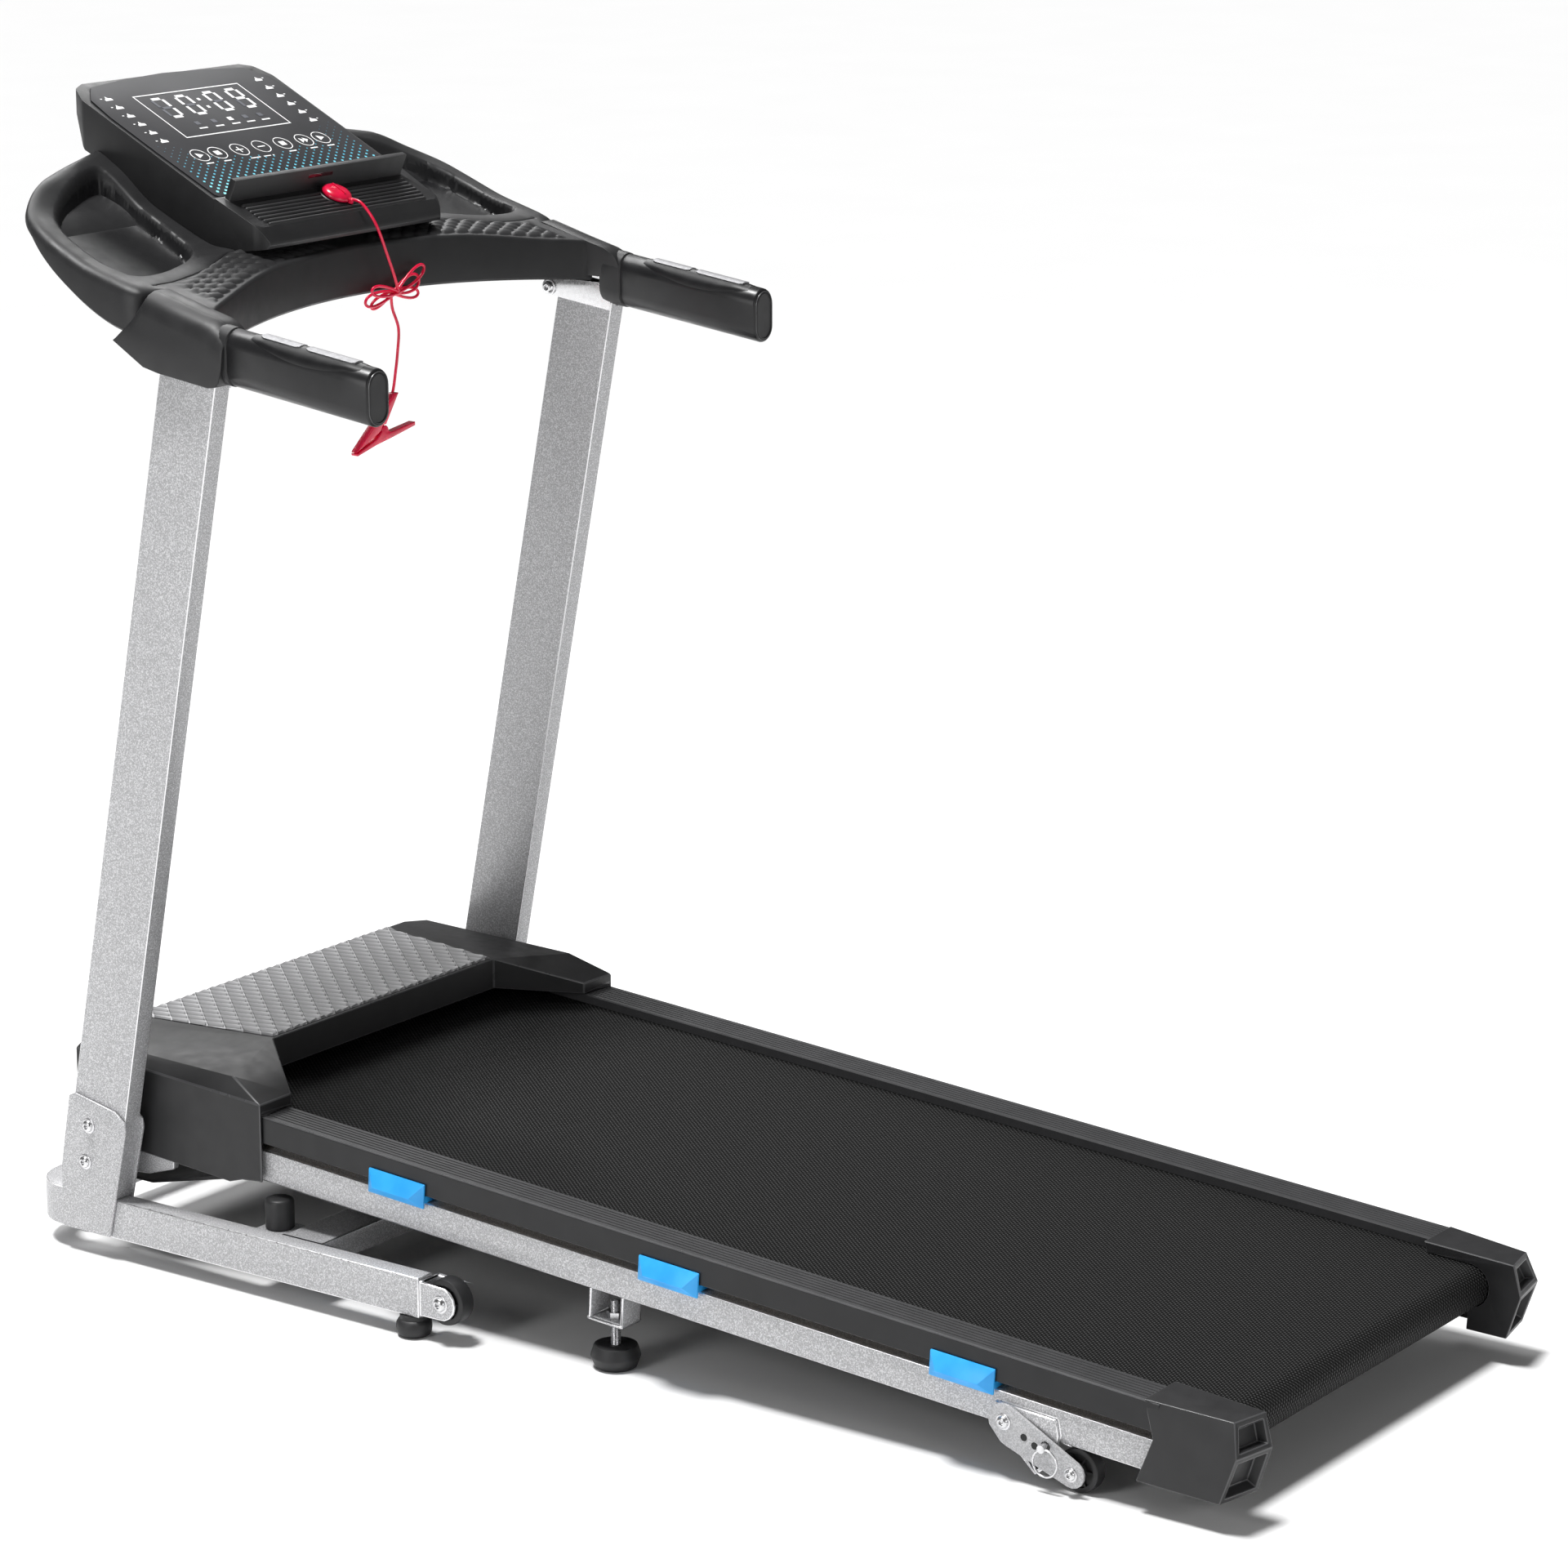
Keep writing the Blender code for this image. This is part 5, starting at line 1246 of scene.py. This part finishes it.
def stadium(cx, cz, y, width, height, steps=14):
    """An upright slot shape in the plane of one y."""
    half = height / 2 - width / 2
    loop = arc(0, half, width / 2, 0, 180, steps) + arc(0, -half, width / 2, 180, 360, steps)
    return [(cx + x, y, cz + z) for x, z in loop]


def make_grip(side, s):
    """A stadium sleeve with a neck, two pulse plates in a raised bezel and an end cap."""
    x = s * 0.297

    def centre(y):
        return 0.8905 + 0.1263 * (y - SHIFT - 0.187)

    def section(y, width, height):
        return stadium(x, centre(y), y, width, height)

    rear, front = 0.187 + SHIFT, 0.355 + SHIFT
    for name, look, slot, replaced, rows in (
            ("grip_sleeve_", GRIP, "rubber", ("grip_" + side,),
             ((rear, 0.0285, 0.0505), (rear + 0.0006, 0.0305, 0.0525),
              (rear + 0.0022, 0.032, 0.054), (front - 0.001, 0.032, 0.054),
              (front, 0.0305, 0.0525))),
            ("grip_neck_", BLACK, "black_plastic", (),
             ((front - 0.0015, 0.0285, 0.0500), (front + 0.0010, 0.0345, 0.0555),
              (front + 0.0060, 0.0350, 0.0560), (front + 0.0200, 0.0350, 0.0560),
              (front + 0.0260, 0.0330, 0.0540))),
            ("grip_cap_", BLACK, "black_plastic", (),
             ((rear - 0.0001, 0.0262, 0.0480), (rear - 0.0012, 0.0250, 0.0468),
              (rear - 0.0015, 0.0232, 0.0450), (rear - 0.0004, 0.0222, 0.0440)))):
        piece(name + side, [loft([section(*row) for row in rows])], look, "base", 40,
              replaced=replaced, slot=slot)
    # A thin ring of the lighter edge plastic at the cap's joint: a painted highlight line.
    line = [section(rear - 0.0002, 0.0275, 0.0493), section(rear - 0.0009, 0.0271, 0.0489),
            section(rear - 0.0009, 0.0264, 0.0482), section(rear - 0.0002, 0.0260, 0.0478)]
    points, faces = loft(line)
    piece("grip_line_" + side, [(points, faces[:-2])], PLASTIC_EDGE_HIGHLIGHT, "base", 40, slot="black_plastic")
    make_pulse(side, x, centre)


def make_pulse(side, x, centre):
    """The bezel over the sleeve's top, widest at its middle, with two bright plates."""
    rows, plates = [], []
    y0, y1 = 0.2030, 0.3330

    def ridge(y, angle, out):
        """A point on the sleeve's rounded top, that far out of its surface."""
        r = 0.016 + out
        return (x + r * math.cos(angle), y, centre(y) + 0.011 + r * math.sin(angle))

    for i in range(27):
        t = i / 26
        y = y0 + (y1 - y0) * t
        spread = math.radians(38 + 42 * math.sin(math.pi * t) ** 0.8)
        out = 0.0016 * min(1.0, 8 * t, 8 * (1 - t)) + 0.0001
        angles = [math.pi / 2 + spread * (2 * k / 12 - 1) for k in range(13)]
        edge = [0.0001 if k in (0, 12) else out for k in range(13)]
        rows.append([ridge(y, a, o) for a, o in zip(angles, edge)] +
                    [ridge(y, a, -0.0008) for a in reversed(angles)])
    piece("pulse_bezel_" + side, [loft(rows)], DEEP_BLACK_AND_SHADE, "base", 40, slot="black_plastic")
    for y_low, y_high in ((0.2120, 0.2700), (0.2780, 0.3240)):
        rows = []
        for y, squeeze in ((y_low, 0.75), (y_low + 0.004, 1.0), (y_high - 0.004, 1.0),
                           (y_high, 0.75)):
            spread = math.radians(24) * squeeze
            angles = [math.pi / 2 + spread * (2 * k / 6 - 1) for k in range(7)]
            rows.append([ridge(y, a, 0.0024) for a in angles] +
                        [ridge(y, a, 0.0008) for a in reversed(angles)])
        plates.append(loft(rows))
    piece("pulse_plates_" + side, plates, PULSE, "base", 30, slot="steel")


# ------------------------------------------------------------------ safety key
HANG = 0.4500 + SHIFT


def smooth_path(points, step):
    """A curve through the points (centripetal Catmull-Rom), sampled about a step apart."""
    p = [Vector(q) for q in points]
    p = [2 * p[0] - p[1]] + p + [2 * p[-1] - p[-2]]
    out = []
    for i in range(1, len(p) - 2):
        a, b, c, d = p[i - 1:i + 3]
        n = max(2, round((c - b).length / step))
        for k in range(n):
            t = k / n
            out.append(0.5 * ((2 * b) + (c - a) * t + (2 * a - 5 * b + 4 * c - d) * t * t
                              + (3 * b - a - 3 * c + d) * t ** 3))
    return out + [p[-2]]


def bow_points():
    """From the knot round both lobes three times and back to it."""
    knot = (0.0410, 0.9225)
    out = []
    lobes = ((-1, 0.84, 9, 0.0070), (1, 1.00, 26, 0.0085), (-1, 0.96, -7, 0.0085),
             (1, 0.84, 12, 0.0110), (-1, 0.72, -20, 0.0060), (1, 0.90, -9, 0.0070))
    for k, (side, reach, lean, width) in enumerate(lobes):
        level = HANG - 0.0050 + 0.0019 * k
        turn = math.radians(lean)
        for i in range(0, 13):
            a = 2 * math.pi * i / 12
            along = 0.5 * (1 - math.cos(a)) * 0.0475 * reach
            across = math.sin(a) * width * (0.35 + 0.65 * 0.5 * (1 - math.cos(a)))
            dx = side * (along * math.cos(turn)) - across * math.sin(turn) * side
            dz = along * math.sin(turn) + across * math.cos(turn)
            if i == 0 and k > 0:
                continue
            lift_by = 0.0009 * math.sin(a / 2)
            out.append((knot[0] + dx, level + lift_by, knot[1] + dz))
    return out


def make_key():
    """Ring seat, key, cord and the two jaws of the clip."""
    tilt = math.atan(RISE)
    spot = Vector((0.007, 0.495 + SHIFT, 1.0736 + RISE * (0.495 - 0.6105)))
    place = Matrix.Translation(spot) @ Matrix.Rotation(tilt, 4, "X")
    seat = [(0.0, 0.0003), (0.0175, 0.0003), (0.0177, 0.0010), (0.0174, 0.0022),
            (0.0166, 0.0027), (0.0158, 0.0022), (0.0, 0.0020)]
    piece("key_ring_seat", [lathe(seat, "Z", (0, 0), 56)], DEEP_BLACK_AND_SHADE, "base", 40,
          replaced=("key_seat",), slot="black_plastic", place=place)
    knob = [(0.0, 0.0025), (0.0138, 0.0025), (0.0150, 0.0036), (0.0153, 0.0050),
            (0.0146, 0.0066), (0.0125, 0.0084), (0.0092, 0.0096), (0.0060, 0.0102),
            (0.0, 0.0105)]
    fin = [(-0.0010, 0.0088), (0.0010, 0.0088), (0.0010, 0.0112), (-0.0010, 0.0112)]
    shells = [lathe(knob, "Z", (0, 0), 56), prism(fin, "Y", -0.009, 0.009)]
    tail = prism(arc(0.0042, -0.0155, 0.0032, 0, 360, 20)[:-1], "Z", 0.0030, 0.0072)
    piece("key_knob", shells + [tail], RED, "key_and_clip", 40, replaced=("safety_key",),
          slot="red_plastic", place=place)
    start = [(0.0113, 0.4790 + SHIFT, 1.0152), (0.0125, 0.4680 + SHIFT, 1.0130),
             (0.0130, 0.4570 + SHIFT, 1.0030), (0.0150, HANG - 0.002, 0.9880),
             (0.0250, HANG - 0.0045, 0.9620), (0.0345, HANG - 0.0052, 0.9400)]
    end = [(0.0425, HANG + 0.0050, 0.9060), (0.0455, HANG, 0.8855), (0.0430, HANG, 0.8600),
           (0.0400, HANG, 0.8445), (0.0350, HANG, 0.8245), (0.0265, HANG - 0.0007, 0.8150),
           (0.0185, HANG - 0.0007, 0.8055)]
    route = smooth_path(start + bow_points() + end, 0.003)
    curve = bpy.data.curves.new("key_cord", "CURVE")
    curve.dimensions, curve.bevel_depth, curve.bevel_resolution = "3D", 0.00150, 4
    curve.use_fill_caps = True
    spline = curve.splines.new("POLY")
    spline.points.add(len(route) - 1)
    for point, p in zip(spline.points, route):
        point.co = (*p, 1)
    cord = bpy.data.objects.new("key_cord", curve)
    curve.materials.append(RED)
    bpy.context.scene.collection.objects.link(cord)
    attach(cord, "key_and_clip")
    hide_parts("key_cord_upper", "key_cord_bow", "key_cord_lower")
    back = refined("clip_back_jaw", RED, "key_and_clip", 0.0008, "red_plastic", smooth=40,
                   clamp=False)
    front = refined("clip_front_jaw", RED, "clip_jaw", 0.0008, "red_plastic", smooth=40,
                    clamp=False)


def make_console():
    make_wing()
    make_head()
    for side, s in SIDES:
        make_collar(side, s)
        make_grip(side, s)
    refined("handlebar_frame", STEEL, "base", 0.0006, "steel")
    refined("control_board", GREEN, "base", 0.0, "circuit")
    make_key()


def make_floor():
    look = Look("studio floor", (0.86, 0.86, 0.86), 0.6)
    look.mottle("Base Color", 3, 2.0, 0.855, 0.865)
    mesh = bpy.data.meshes.new("floor")
    mesh.from_pydata([(-40, -40, 0), (40, -40, 0), (40, 40, 0), (-40, 40, 0)], [], [(0, 1, 2, 3)])
    mesh.materials.append(look.material)
    floor = bpy.data.objects.new("floor", mesh)
    floor.location.z = -0.0004
    bpy.context.scene.collection.objects.link(floor)


make_floor()
make_base()
make_deck()
make_console()
